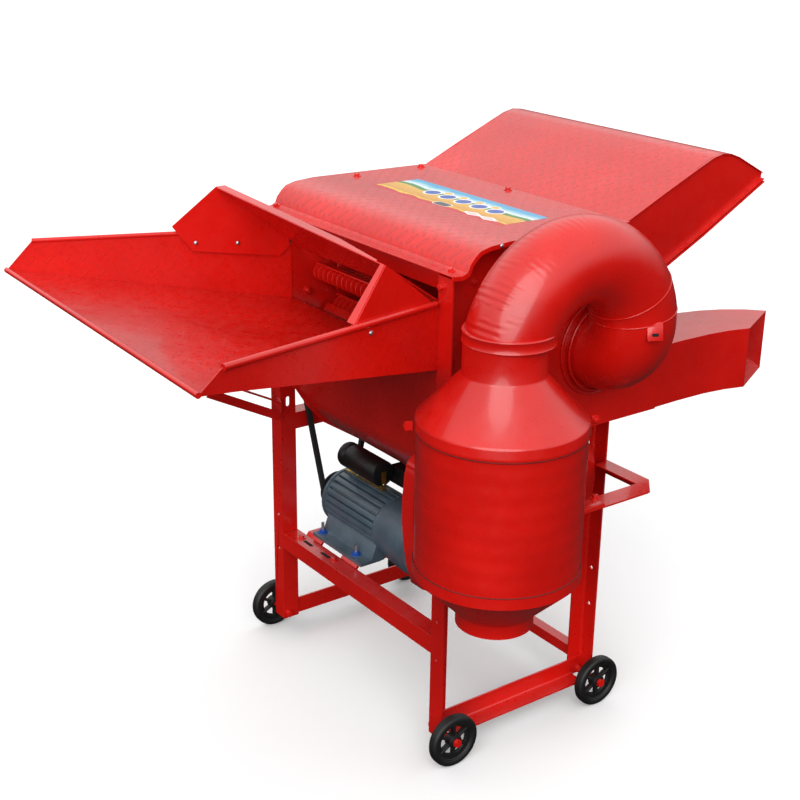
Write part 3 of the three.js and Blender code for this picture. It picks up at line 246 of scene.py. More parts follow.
# Turned steel: fine rings round the shaft's own line, which runs along Y
def turnedSteel(name):
    material, add, place = startFinish(name)
    rings = add("TexNoise", {"Vector": add("Mapping", {"Vector": place, "Scale": (40.0, 1400.0, 40.0)}),
                             "Scale": 1.0, "Detail": 2.0})
    colour = add("Mix", {0: rings, 6: colourOf("8A8D90"), 7: colourOf("C4C6C8")}, data_type="RGBA")
    face = add("Bump", {"Height": rings, "Strength": 0.15, "Distance": mm(0.1)})
    endFinish(add, {"Base Color": colour.outputs[2], "Roughness": 0.32, "Metallic": 1.0, "Normal": face})
    return material


# The bend, from the cylinder's neck to the fan: a collar, an arc, a short gore and an elbow
bendShape = {"x": -5, "y": -160, "shift": 4, "lean": 4, "neckTop": 926, "radius": 154.6, "degrees": 150,
             "pipe": 81, "wall": 2, "from": 958, "bead": 1.2, "gore": 45, "goreTurn": 20, "seam": 0.3,
             "pull": 52, "fanX": 310, "fanZ": 866, "endY": -72.7, "centreX": 153.6,
             "collar": [(79, 0), (84, 0), (84.6, 1.5), (83.4, 3), (83.4, 19), (84.6, 21), (83, 23),
                        (79, 23)]}

finishes = {
    "sheet": redEnamel("red enamel on steel sheet"),
    "tread": redEnamel("red enamel on tread sheet", "tread"),
    "ribbed": redEnamel("red enamel on rolled cylinder", "ribs"),
    "crimped": redEnamel("red enamel on crimped pipe", "crimps"),
    # matt moulded polypropylene with a fine grain
    "wheel": grainedFinish("black polypropylene", "0B0B0C", "111112", 0.46, relief=0.25),
    "iron": grainedFinish("black painted cast iron", "17181A", "25272A", 0.5, grain=160, relief=0.5),
    "bearing": grainedFinish("grey painted cast iron", "55595C", "6B6F72", 0.5, grain=160, relief=0.5),
    # hammered grey-blue enamel of an electric motor
    "motor": grainedFinish("blue-grey motor enamel", "44545F", "4F616E", 0.34, grain=260, relief=0.3,
                           coat=0.2),
    "steel": turnedSteel("turned steel"),
    "screen": grainedFinish("worn steel", "6F7275", "8B8E90", 0.42, metal=1.0, grain=90),
    "zinc": grainedFinish("zinc plated steel", "A9B0B6", "C6CCD2", 0.28, metal=1.0, grain=500),
    "gold": grainedFinish("yellow passivated zinc", "B98F34", "D0AC58", 0.34, metal=1.0, grain=400),
    "case": grainedFinish("satin black phenolic", "101011", "131314", 0.34, grain=200, relief=0.05),
    "nut": grainedFinish("blue nut coating", "1B479C", "2656AE", 0.35, grain=400, relief=0.1),
    # painted shade for the inside of slot openings
    "slotShade": grainedFinish("shaded slot", "120A0A", "1C0E0D", 0.9, relief=0.1),
    "shadedRed": grainedFinish("red enamel in a seam", "7A0D08", "5E0A06", 0.7, relief=0.1),
    "rubber": grainedFinish("belt rubber", "151515", "202020", 0.7, grain=700, relief=0.5),
}
print("finishes ready:", len(finishes))


def meshOf(work, name):
    mesh = bpy.data.meshes.new(name)
    work.to_mesh(mesh)
    work.free()
    return mesh


def putObject(name, data):
    thing = bpy.data.objects.new(name, data)
    bpy.context.scene.collection.objects.link(thing)
    return thing


def keepPiece(work, name, body="machine", slot="red_enamel", finish="sheet", sharp=40, weighted=False,
              replaces=()):
    mesh = meshOf(work, name)
    mesh.materials.append(finishes[finish])
    mesh.shade_smooth()
    mesh.set_sharp_from_angle(angle=math.radians(sharp))
    piece = putObject(name, mesh)
    if weighted:
        even = piece.modifiers.new("even shading", "WEIGHTED_NORMAL")
        even.keep_sharp = True
    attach(piece, body)
    if replaces:
        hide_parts(*replaces)
    return piece


# Cuts a shape out of a piece for good, before anything else is done to it
def cutShape(piece, work):
    cutter = putObject("cutter", meshOf(work, "cutter"))
    opening = piece.modifiers.new("opening", "BOOLEAN")
    opening.operation, opening.object, opening.solver = "DIFFERENCE", cutter, "EXACT"
    reach = bpy.context.evaluated_depsgraph_get()
    cut = bpy.data.meshes.new_from_object(piece.evaluated_get(reach))
    piece.modifiers.remove(opening)
    whole = piece.data
    piece.data = cut
    bpy.data.meshes.remove(whole)
    bpy.data.objects.remove(cutter)


def bodyOf(node):
    return frame["nodes"][node]["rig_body"]


def shift(x, y, z):
    return Matrix.Translation((mm(x), mm(y), mm(z)))


# Where something stands on a point, upright along a direction
def standing(point, direction, across="X"):
    return Matrix.Translation(point) @ Vector(direction).to_track_quat("Z", across).to_matrix().to_4x4()


def pointsOf(made):
    return [g for g in made if isinstance(g, bmesh.types.BMVert)]


def edgesOf(made):
    return list({e for v in made["verts"] for e in v.link_edges})


def easeEdges(work, edges, size, segments=2, clamp=False):
    bmesh.ops.bevel(work, geom=edges, offset=mm(size), offset_type="OFFSET", affect="EDGES",
                    segments=segments, profile=0.5, material=-1, clamp_overlap=clamp)


def weld(work):
    bmesh.ops.remove_doubles(work, verts=work.verts, dist=weldReach)
    bmesh.ops.recalc_face_normals(work, faces=work.faces)


def thicken(work, faces, wall):
    bmesh.ops.recalc_face_normals(work, faces=faces)
    bmesh.ops.solidify(work, geom=faces, thickness=mm(wall))
    bmesh.ops.recalc_face_normals(work, faces=work.faces)


# A box by the place of its middle and its size in millimetres; gives its edges
def addBox(work, place, size):
    return edgesOf(bmesh.ops.create_cube(work, size=1, matrix=place @ Matrix.Diagonal((*map(mm, size), 1))))


# A flat outline pushed out into a slab
def addSlab(work, spots, reach):
    face = work.faces.new([work.verts.new(spot) for spot in spots])
    grown = bmesh.ops.extrude_face_region(work, geom=[face])["geom"]
    bmesh.ops.translate(work, verts=pointsOf(grown), vec=reach)


# A closed outline of (radius, height) turned about a line through the foot
def turnOutline(work, outline, foot, axis, steps=96):
    axis = Vector(axis).normalized()
    side = axis.orthogonal().normalized()
    points = [work.verts.new(foot + side * mm(r) + axis * mm(h)) for r, h in outline]
    edges = [work.edges.new((points[i], points[(i + 1) % len(points)])) for i in range(len(points))]
    bmesh.ops.spin(work, geom=points + edges, cent=foot, axis=axis, angle=2 * math.pi, steps=steps,
                   use_merge=True)
    weld(work)


# A curve with a round section, as a mesh
def addCurve(work, line):
    holder = bpy.data.objects.new(line.name, line)
    work.from_mesh(bpy.data.meshes.new_from_object(holder))
    bpy.data.objects.remove(holder)
    weld(work)


# Sheet, angle iron and castings of the frame: the same solid with its edges eased
easing = {"flat": 0.4, "corner": 33, "shaded": 50}
trayCorner = {"at": (-580, 708, 962), "reach": 22, "bent": (14, 0, 8)}


def easeNode(node, finish, slot, edge):
    work = bmesh.new()
    work.from_mesh(frame["nodes"][node].data)
    bmesh.ops.remove_doubles(work, verts=work.verts, dist=weldReach)
    bmesh.ops.dissolve_limit(work, angle_limit=math.radians(easing["flat"]), verts=work.verts,
                             edges=work.edges)
    if node == "feed_tray":  # its far front corner was bent back and up a little in use
        spot = placed(*trayCorner["at"])
        bent = [v for v in work.verts if (v.co - spot).length < mm(trayCorner["reach"])]
        bmesh.ops.translate(work, verts=bent, vec=Vector(trayCorner["bent"]) / 1000)
    corner = math.radians(easing["corner"])
    easeEdges(work, [e for e in work.edges if e.is_manifold and e.calc_face_angle() > corner], edge,
              clamp=True)
    for face in work.faces:  # the chute's sides are of plain sheet
        face.material_index = 1 if node == "straw_chute" and abs(face.normal.y) > 0.9 else 0
    piece = keepPiece(work, node + "_eased", bodyOf(node), slot, finish, sharp=easing["shaded"],
                      weighted=True, replaces=[node])
    if node == "straw_chute":
        piece.data.materials.append(finishes["sheet"])


# By finish: the slot, how far the edges are eased, and the frame's nodes
easedNodes = {
    "sheet": ("red_enamel", 0.5, [
        "leg_front_near", "leg_front_far", "leg_rear_near", "leg_rear_far", "bottom_rail_near",
        "bottom_rail_far", "middle_rail_front", "middle_rail_rear", "low_rail_rear", "upper_rail_far",
        "side_plate_near", "side_plate_far", "front_apron", "trough", "rear_panel", "thrower_housing",
        "motor_strip_near", "motor_strip_far", "fan_housing", "chaff_duct", "cylinder_bracket",
        "tray_stay", "feed_guard"]),
    "tread": ("red_enamel", 0.5, ["hood", "straw_chute", "feed_tray"]),
    "case": ("black_case", 1.8, ["terminal_box"]),
    "gold": ("strap_plating", 0.3, ["capacitor_strap"]),
    "bearing": ("bearing_iron", 0.8, [
        "drum_bearing_near", "drum_bearing_far", "auger_bearing", "fan_bearing"]),
    "steel": ("bright_steel", 0.5, ["motor_shaft"]),
    "screen": ("bright_steel", 0.4, ["auger", "concave", "thrower_rotor", "fan_rotor"]),
    "rubber": ("belt_rubber", 0.4, ["main_belt", "middle_belt", "fan_belt"]),
}
for finish, (slot, edge, nodes) in easedNodes.items():
    for node in nodes:
        easeNode(node, finish, slot, edge)
print("frame dressed")

# Wheels: moulded tyre with rounded shoulders, ledge inside the rim, six spokes, hub
wheelShape = {
    "radius": 57, "width": 23, "inset": 12, "side": 38.7, "length": 424, "frameWidth": 653, "spokes": 6,
    "spoke": (27, 12, 6), "spokeMiddle": 27, "spokeEdge": 1.5,
    "tyre": [(39, 6), (39.5, 3.4), (41, 2), (43, 2.2), (44, 1.2), (47, 0.3), (51, 0.3), (54.4, 1.4),
             (56.4, 4), (57, 7), (57, 16), (56.4, 19), (54.4, 21.6), (51, 22.7), (47, 22.7), (44, 21.8),
             (43, 20.8), (41, 21), (39.5, 19.6), (39, 17)],
    "hub": [(6.6, 0.4), (12.4, 0.4), (14.2, 1.2), (15, 3), (15, 20), (14.2, 21.8), (12.4, 22.6), (6.6, 22.6)],
    "ledge": [(30.5, 12), (33, 9), (40, 9), (40, 16), (33, 16), (30.5, 14)]}


def makeWheel(node, x, side):
    w = wheelShape
    work = bmesh.new()
    hub = placed(x, w["frameWidth"] + w["side"] if side > 0 else -w["side"], w["radius"])
    inward = Vector((0, -side, 0))
    turnOutline(work, w["tyre"], hub, inward)
    turnOutline(work, w["hub"], hub, inward, 48)
    middle = Matrix.Translation(hub + inward * mm(w["width"] / 2))
    for i in range(w["spokes"]):
        turn = Matrix.Rotation((i + 0.5) * 2 * math.pi / w["spokes"], 4, "Y")
        easeEdges(work, addBox(work, middle @ turn @ shift(w["spokeMiddle"], 0, 0), w["spoke"]),
                  w["spokeEdge"], 3)
    turnOutline(work, w["ledge"], hub, inward)
    keepPiece(work, node + "_moulded", node.replace("wheel_", "") + "_wheel", "wheel_black", "wheel",
              replaces=[node])


for place, x in (("front", wheelShape["inset"]), ("rear", wheelShape["length"] - wheelShape["inset"])):
    for hand, side in (("near", -1), ("far", 1)):
        makeWheel(f"wheel_{place}_{hand}", x, side)
print("wheels made")

# Grain cylinder: shoulder and neck, ribbed body with its inlet, ear of the rear bracket, conical base
cylinderShape = {"x": -5, "y": -160, "radius": 155, "wide": 157.3, "shoulder": 818, "band": 795, "lap": 8,
                 "coneTop": 902, "neck": 76, "neckTop": 957.7, "seam": 534, "rim": 513, "coneBottom": 432,
                 "spout": 74, "bottom": 405, "wall": 2, "steps": 128, "inletAt": (9, -41, 646),
                 "inlet": (210, 84, 84), "earAt": (207.5, -143, 574.3), "ear": (117, 36, 4), "earEdge": 0.8,
                 "seamsAt": (793.6, 535.2), "seamRadius": 156.2, "seamThick": 1.3}


def makeCylinder():
    c = cylinderShape
    wide, wall, band, shoulder, neck = (c[k] for k in ("wide", "wall", "band", "shoulder", "neck"))
    seam, rim, spout, cone = (c[k] for k in ("seam", "rim", "spout", "coneBottom"))
    foot = placed(c["x"], c["y"], 0)
    work = bmesh.new()
    turnOutline(work, [
        (wide, band), (wide + 1, band + 3), (wide, band + 6), (wide, shoulder - 3), (wide - 1, shoulder),
        (wide - 3, shoulder + 2), (neck + 2, c["coneTop"] - 2), (neck, c["coneTop"] + 2),
        (neck, c["neckTop"]), (neck - wall, c["neckTop"]), (neck - wall, c["coneTop"]),
        (wide - 5, shoulder), (wide - wall, shoulder - 4), (wide - wall, band)], foot, up, c["steps"])
    keepPiece(work, "cylinder_shoulder", replaces=["cylinder_top"])
    work = bmesh.new()
    low, high = seam - c["lap"], band + c["lap"]
    turnOutline(work, [(c["radius"], low), (c["radius"], high), (c["radius"] - wall, high),
                       (c["radius"] - wall, low)], foot, up, c["steps"])
    shell = keepPiece(work, "cylinder_shell", finish="ribbed", replaces=["cylinder_body"])
    inlet = bmesh.new()
    addBox(inlet, Matrix.Translation(placed(*c["inletAt"])), c["inlet"])
    cutShape(shell, inlet)
    work = bmesh.new()
    easeEdges(work, addBox(work, Matrix.Translation(placed(*c["earAt"])), c["ear"]), c["earEdge"])
    keepPiece(work, "cylinder_ear", sharp=30)
    work = bmesh.new()
    turnOutline(work, [
        (spout, c["bottom"]), (spout, cone - 2), (spout + 2, cone + 2), (wide - 3, rim - 3), (wide, rim),
        (wide, seam), (wide - wall, seam), (wide - wall, rim + 1), (spout - wall, cone),
        (spout - wall, c["bottom"])], foot, up, c["steps"])
    keepPiece(work, "cylinder_foot", replaces=["cylinder_base"])


makeCylinder()
print("cylinder made")


# A pipe wall along one Bezier stretch, from a curve with a round section
def pipeAlong(name, start, startHandle, endHandle, end, node):
    line = bpy.data.curves.new(name + " line", "CURVE")
    line.dimensions = "3D"
    line.resolution_u, line.bevel_resolution = 24, 18
    line.bevel_depth = mm(bendShape["pipe"])
    stretch = line.splines.new("BEZIER")
    stretch.bezier_points.add(1)
    spots = ((start, start * 2 - startHandle, startHandle), (end, endHandle, end * 2 - endHandle))
    for point, (spot, left, right) in zip(stretch.bezier_points, spots):
        point.handle_left_type = point.handle_right_type = "FREE"
        point.co, point.handle_left, point.handle_right = spot, left, right
    work = bmesh.new()
    addCurve(work, line)
    thicken(work, work.faces, bendShape["wall"])
    for face in work.faces:
        face.material_index = 0
    keepPiece(work, name, replaces=[node])


# A raised bead round a pipe, where two shells are rolled together
def rollBead(work, centre, direction, radius, thick):
    side = direction.orthogonal().normalized()
    ring = bmesh.ops.create_circle(work, cap_ends=False, segments=12, radius=mm(thick),
                                   matrix=standing(centre + side * mm(radius), direction.cross(side)))
    bmesh.ops.spin(work, geom=ring["verts"] + edgesOf(ring), cent=centre, axis=direction,
                   angle=2 * math.pi, steps=96, use_merge=True)
    weld(work)


def makeBend():
    b = bendShape
    middle = placed(b["centreX"], b["y"], b["neckTop"])
    start = placed(b["centreX"] - b["radius"], b["y"], b["neckTop"])
    work = bmesh.new()
    ring = bmesh.ops.create_circle(work, cap_ends=False, segments=72, radius=mm(b["pipe"]),
                                   matrix=Matrix.Translation(start))
    bmesh.ops.spin(work, geom=ring["verts"] + edgesOf(ring), cent=middle, axis=along,
                   angle=math.radians(b["degrees"]), steps=60)
    bmesh.ops.bisect_plane(work, geom=work.verts[:] + work.edges[:] + work.faces[:],
                           plane_co=(0, 0, mm(b["from"])), plane_no=up, clear_inner=False)
    low = [v for v in work.verts if v.co.z < mm(b["from"]) - weldReach and v.co.x < middle.x]
    bmesh.ops.delete(work, geom=low, context="VERTS")
    thicken(work, work.faces, b["wall"])
    keepPiece(work, "bend_arc", finish="crimped", replaces=["bend_upper"])

    work = bmesh.new()
    seat = placed(b["x"] + b["shift"] + b["lean"], b["y"], b["from"])
    turnOutline(work, b["collar"], seat, up)
    angle = math.radians(180 - b["degrees"])
    arcEnd = middle + Vector((math.cos(angle), 0, math.sin(angle))) * mm(b["radius"])
    heading = Vector((math.sin(angle), 0, -math.cos(angle)))
    steep = Matrix.Rotation(math.radians(b["goreTurn"]), 3, "Y") @ heading
    half = (heading + steep).normalized()
    goreStart = arcEnd + heading * mm(b["seam"])
    goreEnd = arcEnd + half * mm(b["gore"])
    third = mm(b["gore"]) / 3
    elbowStart = goreEnd + steep * mm(b["seam"])
    elbowEnd = placed(b["fanX"], b["endY"], b["fanZ"])
    pull = mm(b["pull"])
    rollBead(work, arcEnd, heading, b["pipe"], b["bead"])
    rollBead(work, goreEnd, steep, b["pipe"], b["bead"])
    keepPiece(work, "bend_beads")
    pipeAlong("bend_middle", goreStart, goreStart + heading * third, goreEnd - steep * third, goreEnd,
              "bend_gore")
    pipeAlong("bend_elbow", elbowStart, elbowStart + steep * pull, elbowEnd + Vector((0, -pull, 0)),
              elbowEnd, "bend_lower")


makeBend()
print("bend made")

# Motor: cowl, end shield and capacitor turned, ribbed body with fins and a foot rail on each side
motorShape = {
    "x": 148, "z": 350, "outer": 68, "near": 212, "smooth": 361.7, "far": 562.3, "shield": 585,
    "shaft": 12.3, "axis": 0.01, "gap": 0.3, "fins": 25, "fin": (10, 190, 11.6), "finMiddle": 461.5,
    "finOut": 63, "finTop": 66, "finEdge": 0.7, "footNear": 356, "footLong": 195, "footWide": 100,
    "foot": [(104, 280.2), (104, 288), (78, 288), (74, 290), (62, 322), (50, 334), (40, 334), (40, 282),
             (52, 280.2)],
    "canAt": (146, 0, 458.4),
    "can": [(0.01, 415), (25.5, 415), (28.6, 416.2), (29.6, 419), (29.8, 534), (29.2, 535), (29.2, 537),
            (30, 538), (30, 555), (29, 558.6), (26, 560), (0.01, 560)]}


def makeMotor():
    m = motorShape
    foot = placed(m["x"], 0, m["z"])
    outer, near, smooth, far = (m[k] for k in ("outer", "near", "smooth", "far"))
    paint = {"slot": "motor_paint", "finish": "motor"}
    work = bmesh.new()
    turnOutline(work, [
        (m["axis"], near), (40, near + 0.3), (66, near + 2), (73, near + 6), (76, near + 14),
        (76.6, near + 34), (76, near + 36), (77, near + 38), (77, near + 60), (75.6, near + 84),
        (71, smooth - 18), (outer, smooth - 6), (outer, smooth), (m["axis"], smooth)], foot, along)
    keepPiece(work, "motor_cowl_pressed", **paint, replaces=["motor_cowl"])
    work = bmesh.new()
    turnOutline(work, [
        (m["shaft"], far), (outer, far), (outer, far + 7), (66.5, far + 9.5), (56, far + 16.5),
        (30, far + 18), (28.5, far + 19), (27.5, m["shield"]), (m["shaft"], m["shield"])], foot, along)
    keepPiece(work, "motor_shield_cast", **paint, replaces=["motor_shield"])
    work = bmesh.new()
    turnOutline(work, [(m["axis"], smooth + m["gap"]), (66.5, smooth + m["gap"]), (67.5, smooth + 2),
                       (66, smooth + 8), (59, smooth + 9), (59, far - 6), (66, far - 4),
                       (66, far - m["gap"]), (m["axis"], far - m["gap"])], foot, along)
    middle = Matrix.Translation(placed(m["x"], m["finMiddle"], m["z"]))
    for i in range(m["fins"]):
        turn = Matrix.Rotation((i + 0.5) * 2 * math.pi / m["fins"], 4, "Y")
        edges = addBox(work, middle @ turn @ shift(m["finOut"], 0, 0), m["fin"])
        rims = [e for e in edges if all((v.co - foot).xz.length > mm(m["finTop"]) for v in e.verts)]
        easeEdges(work, rims, m["finEdge"])
    for side, reach in ((-1, math.inf), (1, m["footWide"])):
        addSlab(work, [placed(m["x"] + side * min(x, reach), m["footNear"], z) for x, z in m["foot"]],
                (0, mm(m["footLong"]), 0))
    bmesh.ops.recalc_face_normals(work, faces=work.faces)
    keepPiece(work, "motor_ribbed_body", **paint, sharp=30, replaces=["motor_body"])
    work = bmesh.new()
    turnOutline(work, m["can"], placed(*m["canAt"]), along, 64)
    keepPiece(work, "capacitor_can", slot="black_case", finish="case", replaces=["capacitor"])


makeMotor()
print("motor made")

# Pulleys turned with their grooves: body, axis (x and z) and bore, then each groove's middle, width,
# radius and rim wall
pulleys = {
    "drum_pulley_near": ("drum_shaft", 160, 890, 15.3, [(11, 13, 90, 7)]),
    "motor_pulley": ("motor_rotor", 148, 350, 12.3, [(601, 17, 44, 11)]),
    "auger_pulley": ("auger_shaft", 240, 540, 14.3, [(584, 13, 73, 7)]),
    "fan_pulley": ("fan_shaft", 310, 866, 10.3, [(11, 13, 35, 7)]),
    "drum_pulley_far": ("drum_shaft", 160, 890, 15.3, [(584, 13, 58, 7), (601, 17, 157, 11)]),
}
pulleyRim = {"flange": 2.5, "belt": 0.9, "hub": 14, "hubShare": 0.3, "rim": 9, "web": 4, "dished": 8}
for node, (body, x, z, bore, grooves) in pulleys.items():
    work = bmesh.new()
    foot = placed(x, 0, z)
    for y, width, radius, wall in grooves:
        half = width / 2 + pulleyRim["flange"]
        deep = radius - wall - pulleyRim["belt"]
        dish = max(bore + pulleyRim["hub"], radius * pulleyRim["hubShare"])
        web = deep - pulleyRim["rim"]
        dished = web > dish + pulleyRim["dished"]  # a thin web between hub and rim
        near, far = y - pulleyRim["web"], y + pulleyRim["web"]
        outline = [(bore, y - half), (dish, y - half)]
        if dished:
            outline += [(dish, near), (web, near), (web, y - half + 1)]
        outline += [(radius - 1, y - half), (radius, y - half + 0.8), (deep, y - width / 3),
                    (deep, y + width / 3), (radius, y + half - 0.8), (radius - 1, y + half)]
        if dished:
            outline += [(web, y + half - 1), (web, far), (dish, far)]
        outline += [(dish, y + half), (bore, y + half)]
        turnOutline(work, outline, foot, along, 72)
    keepPiece(work, node + "_turned", body, "pulley_black", "iron", sharp=30, replaces=[node])
print("pulleys made")

# Drum: shaft, discs, six bars with rows of sickle teeth, each row tied by a strap along its upper side
drumShape = {"x": 160, "z": 890, "shaft": 15, "near": 50, "far": 548, "disc": 63, "discs": 3, "discWall": 6,
             "inset": 14, "barWidth": 26, "barWall": 6, "bars": 6, "turn": 168, "edge": 0.8, "tooth": 3,
             "toothEdge": 0.9, "skew": 12, "pitch": 17.6, "margin": 10, "strapAt": (100, 0, -17),
             "strap": (20, 3), "shaftNear": 2, "shaftFar": 612,
             "root": 11, "sickle": [(88, -13), (106, -16.5), (113, -15), (117.6, -10), (120, -2), (119, 8),
                                    (115, 14), (108, 17), (96, 15)]}


def makeDrum():
    d = drumShape
    foot = placed(d["x"], 0, d["z"])
    long = d["far"] - d["near"]
    shaft, near, far = d["shaft"], d["shaftNear"], d["shaftFar"]
    turns = [Matrix.Rotation(-math.radians(d["turn"] + 360 / d["bars"] * i), 4, "Y")
             for i in range(d["bars"])]
    work = bmesh.new()
    turnOutline(work, [(0.01, near), (shaft - 1, near), (shaft, near + 1), (shaft, far - 1),
                       (shaft - 1, far), (0.01, far)], foot, along, 32)
    for i in range(d["discs"]):
        y = d["near"] + d["inset"] + (long - 2 * d["inset"]) * i / (d["discs"] - 1)
        low, high = y - d["discWall"] / 2, y + d["discWall"] / 2
        turnOutline(work, [(shaft - 1, low), (d["disc"], low), (d["disc"], high), (shaft - 1, high)], foot,
                    along, 48)
    middle = Matrix.Translation(placed(d["x"], (d["near"] + d["far"]) / 2, d["z"]))
    for turn in turns:
        easeEdges(work, addBox(work, middle @ turn @ shift(d["disc"], 0, 0),
                               (d["barWall"], long, d["barWidth"])), d["edge"])
    keepPiece(work, "drum_core", "drum_shaft", replaces=["drum"])

    # one tooth: a sickle plate across the bar, rounded along its outer edge
    work = bmesh.new()
    outline = [(d["disc"], -d["root"]), *d["sickle"], (d["disc"], d["root"])]
    addSlab(work, [(mm(r), mm(-d["tooth"] / 2), mm(t)) for r, t in outline], (0, mm(d["tooth"]), 0))
    bmesh.ops.recalc_face_normals(work, faces=work.faces)
    easeEdges(work, [e for e in work.edges if e.calc_face_angle() > math.radians(60)], d["toothEdge"])
    bmesh.ops.rotate(work, verts=work.verts, cent=(mm(d["disc"]), 0, 0), matrix=Matrix.Rotation(
        math.radians(d["skew"]), 3, "X"))
    oneTooth = work.verts[:] + work.edges[:] + work.faces[:]
    count = int((long - 2 * d["margin"]) // d["pitch"]) + 1
    spots = [Matrix.Translation(placed(d["x"], d["near"] + d["margin"] + d["pitch"] * i, d["z"])) @ turn
             for turn in turns for i in range(count)]
    for spot in spots[1:]:
        copy = bmesh.ops.duplicate(work, geom=oneTooth)["geom"]
        bmesh.ops.transform(work, matrix=spot, verts=pointsOf(copy))
    bmesh.ops.transform(work, matrix=spots[0], verts=pointsOf(oneTooth))
    for turn in turns:
        easeEdges(work, addBox(work, middle @ turn @ shift(*d["strapAt"]),
                               (d["strap"][0], long, d["strap"][1])), d["edge"])
    keepPiece(work, "drum_teeth", "drum_shaft")


makeDrum()
print("drum made")


# Hexagon heads on their washers and pan heads: each stands on its point along its direction
def addHexBolt(work, point, direction, across, height):
    seat = standing(point, direction)
    bmesh.ops.create_cone(work, cap_ends=True, segments=32, radius1=mm(across * 0.92),
                          radius2=mm(across * 0.9), depth=mm(2), matrix=seat @ shift(0, 0, 0.8))
    side = mm(across * 0.577)
    head = bmesh.ops.create_cone(work, cap_ends=True, segments=6, radius1=side, radius2=side,
                                 depth=mm(height), matrix=seat @ shift(0, 0, height / 2 + 1.5))
    easeEdges(work, edgesOf(head), 0.5)


def setPanHeads(name, heads):
    work = bmesh.new()
    for point, direction, radius, height in heads:
        bmesh.ops.create_uvsphere(work, u_segments=20, v_segments=10, radius=1, matrix=standing(
            placed(*point), direction) @ Matrix.Diagonal((mm(radius), mm(radius), mm(height), 1)))
    keepPiece(work, name, slot="bright_steel", finish="zinc")


redHeads = [
    ((214.5, 623.2, 1085.5), up, 10, 5), ((400.3, 635.8, 1083.4), up, 10, 5),
    ((412.8, 340.8, 1083.2), up, 10, 5), ((17, 27.6, 1037.7), (-0.34, 0, 0.94), 10, 5),
    ((18.3, 645.3, 1038.2), (-0.34, 0, 0.94), 10, 5), ((84.9, 40.3, 1003.2), (0, -1, 0), 9, 4),
    ((0, 31.3, 1009.2), (-1, 0, 0), 12, 6), ((39.7, 556, 868.6), (0, -1, 0), 11, 5),
    ((23, 567, 273), up, 11, 5), ((23, 432, 273), up, 11, 5),
    ((267, -131, 576.3), up, 11, 6),
]
zincHeads = [
    ((-201.7, 600.2, 997), (-0.25, -0.97, 0), 5, 3.4), ((-115.9, 577.7, 989.8), (-0.25, -0.97, 0), 5, 3.4),
    ((-184.3, -6.5, 964.3), (0.25, -0.97, 0), 5, 3.4), ((104.8, -10, 1080.4), (0, -1, 0), 4.5, 3),
]
footBolts = {"places": [(62, 537), (62, 401), (230, 537), (230, 401)], "z": 288, "radius": 4, "tip": 3.4,
             "long": 26, "sunk": 0.4, "across": 13, "nut": 6.5}
strapHeads = [((146, 518, 419.9), up, 3.6, 2.4), ((146, 413.1, 433), (0, -1, 0), 3.6, 2.4)]
work = bmesh.new()
for point, direction, across, height in redHeads:
    addHexBolt(work, placed(*point), direction, across, height)
keepPiece(work, "bolts_painted", sharp=30)
setPanHeads("screws_zinc", zincHeads)
studs, nuts = bmesh.new(), bmesh.new()
for x, y in footBolts["places"]:
    spot = placed(x, y, footBolts["z"])
    bmesh.ops.create_cone(studs, cap_ends=True, segments=16, radius1=mm(footBolts["radius"]),
                          radius2=mm(footBolts["tip"]), depth=mm(footBolts["long"]),
                          matrix=Matrix.Translation(spot)
                          @ shift(0, 0, footBolts["long"] / 2 - footBolts["sunk"]))
    addHexBolt(nuts, spot, up, footBolts["across"], footBolts["nut"])
keepPiece(studs, "motor_studs", slot="bright_steel", finish="zinc")
keepPiece(nuts, "motor_nuts", slot="bright_steel", finish="nut", sharp=30)
setPanHeads("strap_screws", strapHeads)
print("fasteners set")


# A round rod or rolled edge through a few points
def rollRod(work, points, radius):
    line = bpy.data.curves.new("rod line", "CURVE")
    line.dimensions = "3D"
    line.bevel_depth, line.bevel_resolution = mm(radius), 5
    line.use_fill_caps = True
    stretch = line.splines.new("POLY")
    stretch.points.add(len(points) - 1)
    for point, spot in zip(stretch.points, points):
        point.co = (*placed(*spot), 1)
    addCurve(work, line)


# A folded strip between two lines of points
def foldStrip(work, first, second, wall):
    before = set(work.faces)
    rows = [[work.verts.new(placed(*spot)) for spot in line] for line in (first, second)]
    lines = [[work.edges.new((row[i], row[i + 1])) for i in range(len(row) - 1)] for row in rows]
    bmesh.ops.bridge_loops(work, edges=lines[0] + lines[1])
    thicken(work, [f for f in work.faces if f not in before], wall)


# Rolled rims, folded edges and hems of the sheet work
trim = {"rimNear": 6.2, "rimFar": 4.8, "lip": 5.4, "fold": 1.6, "tuck": 2, "hem": 3.5, "flange": 11,
        "port": [(-68.5, 96, 2.2), (-80, 87, 2.0)]}

work = bmesh.new()
rollRod(work, [(-528, -96, 994), (-9, 38, 976.3)], trim["rimNear"])
rollRod(work, [(-516, 691, 1026), (-235, 617, 1018), (-9, 558.5, 978.6)], trim["rimFar"])
rollRod(work, [(-580, -110, 962), (-566, 708, 970)], trim["lip"])
keepPiece(work, "tray_rims")

work = bmesh.new()
foldStrip(work, [(-144, 9.4, 1077), (-222, -10.8, 986)], [(-144, 21, 1077), (-222, 11, 986)], trim["fold"])
foldStrip(work, [(-156, 590.2, 1111), (-152.7, 433, 1102), (-147.3, 175, 1086.5), (-144.6, 38, 1078.6)],
          [(-137, 588, 1112), (-133.7, 431, 1103), (-129, 175, 1087.5), (-140, 38, 1079)], trim["fold"])
keepPiece(work, "guard_folds", sharp=30)

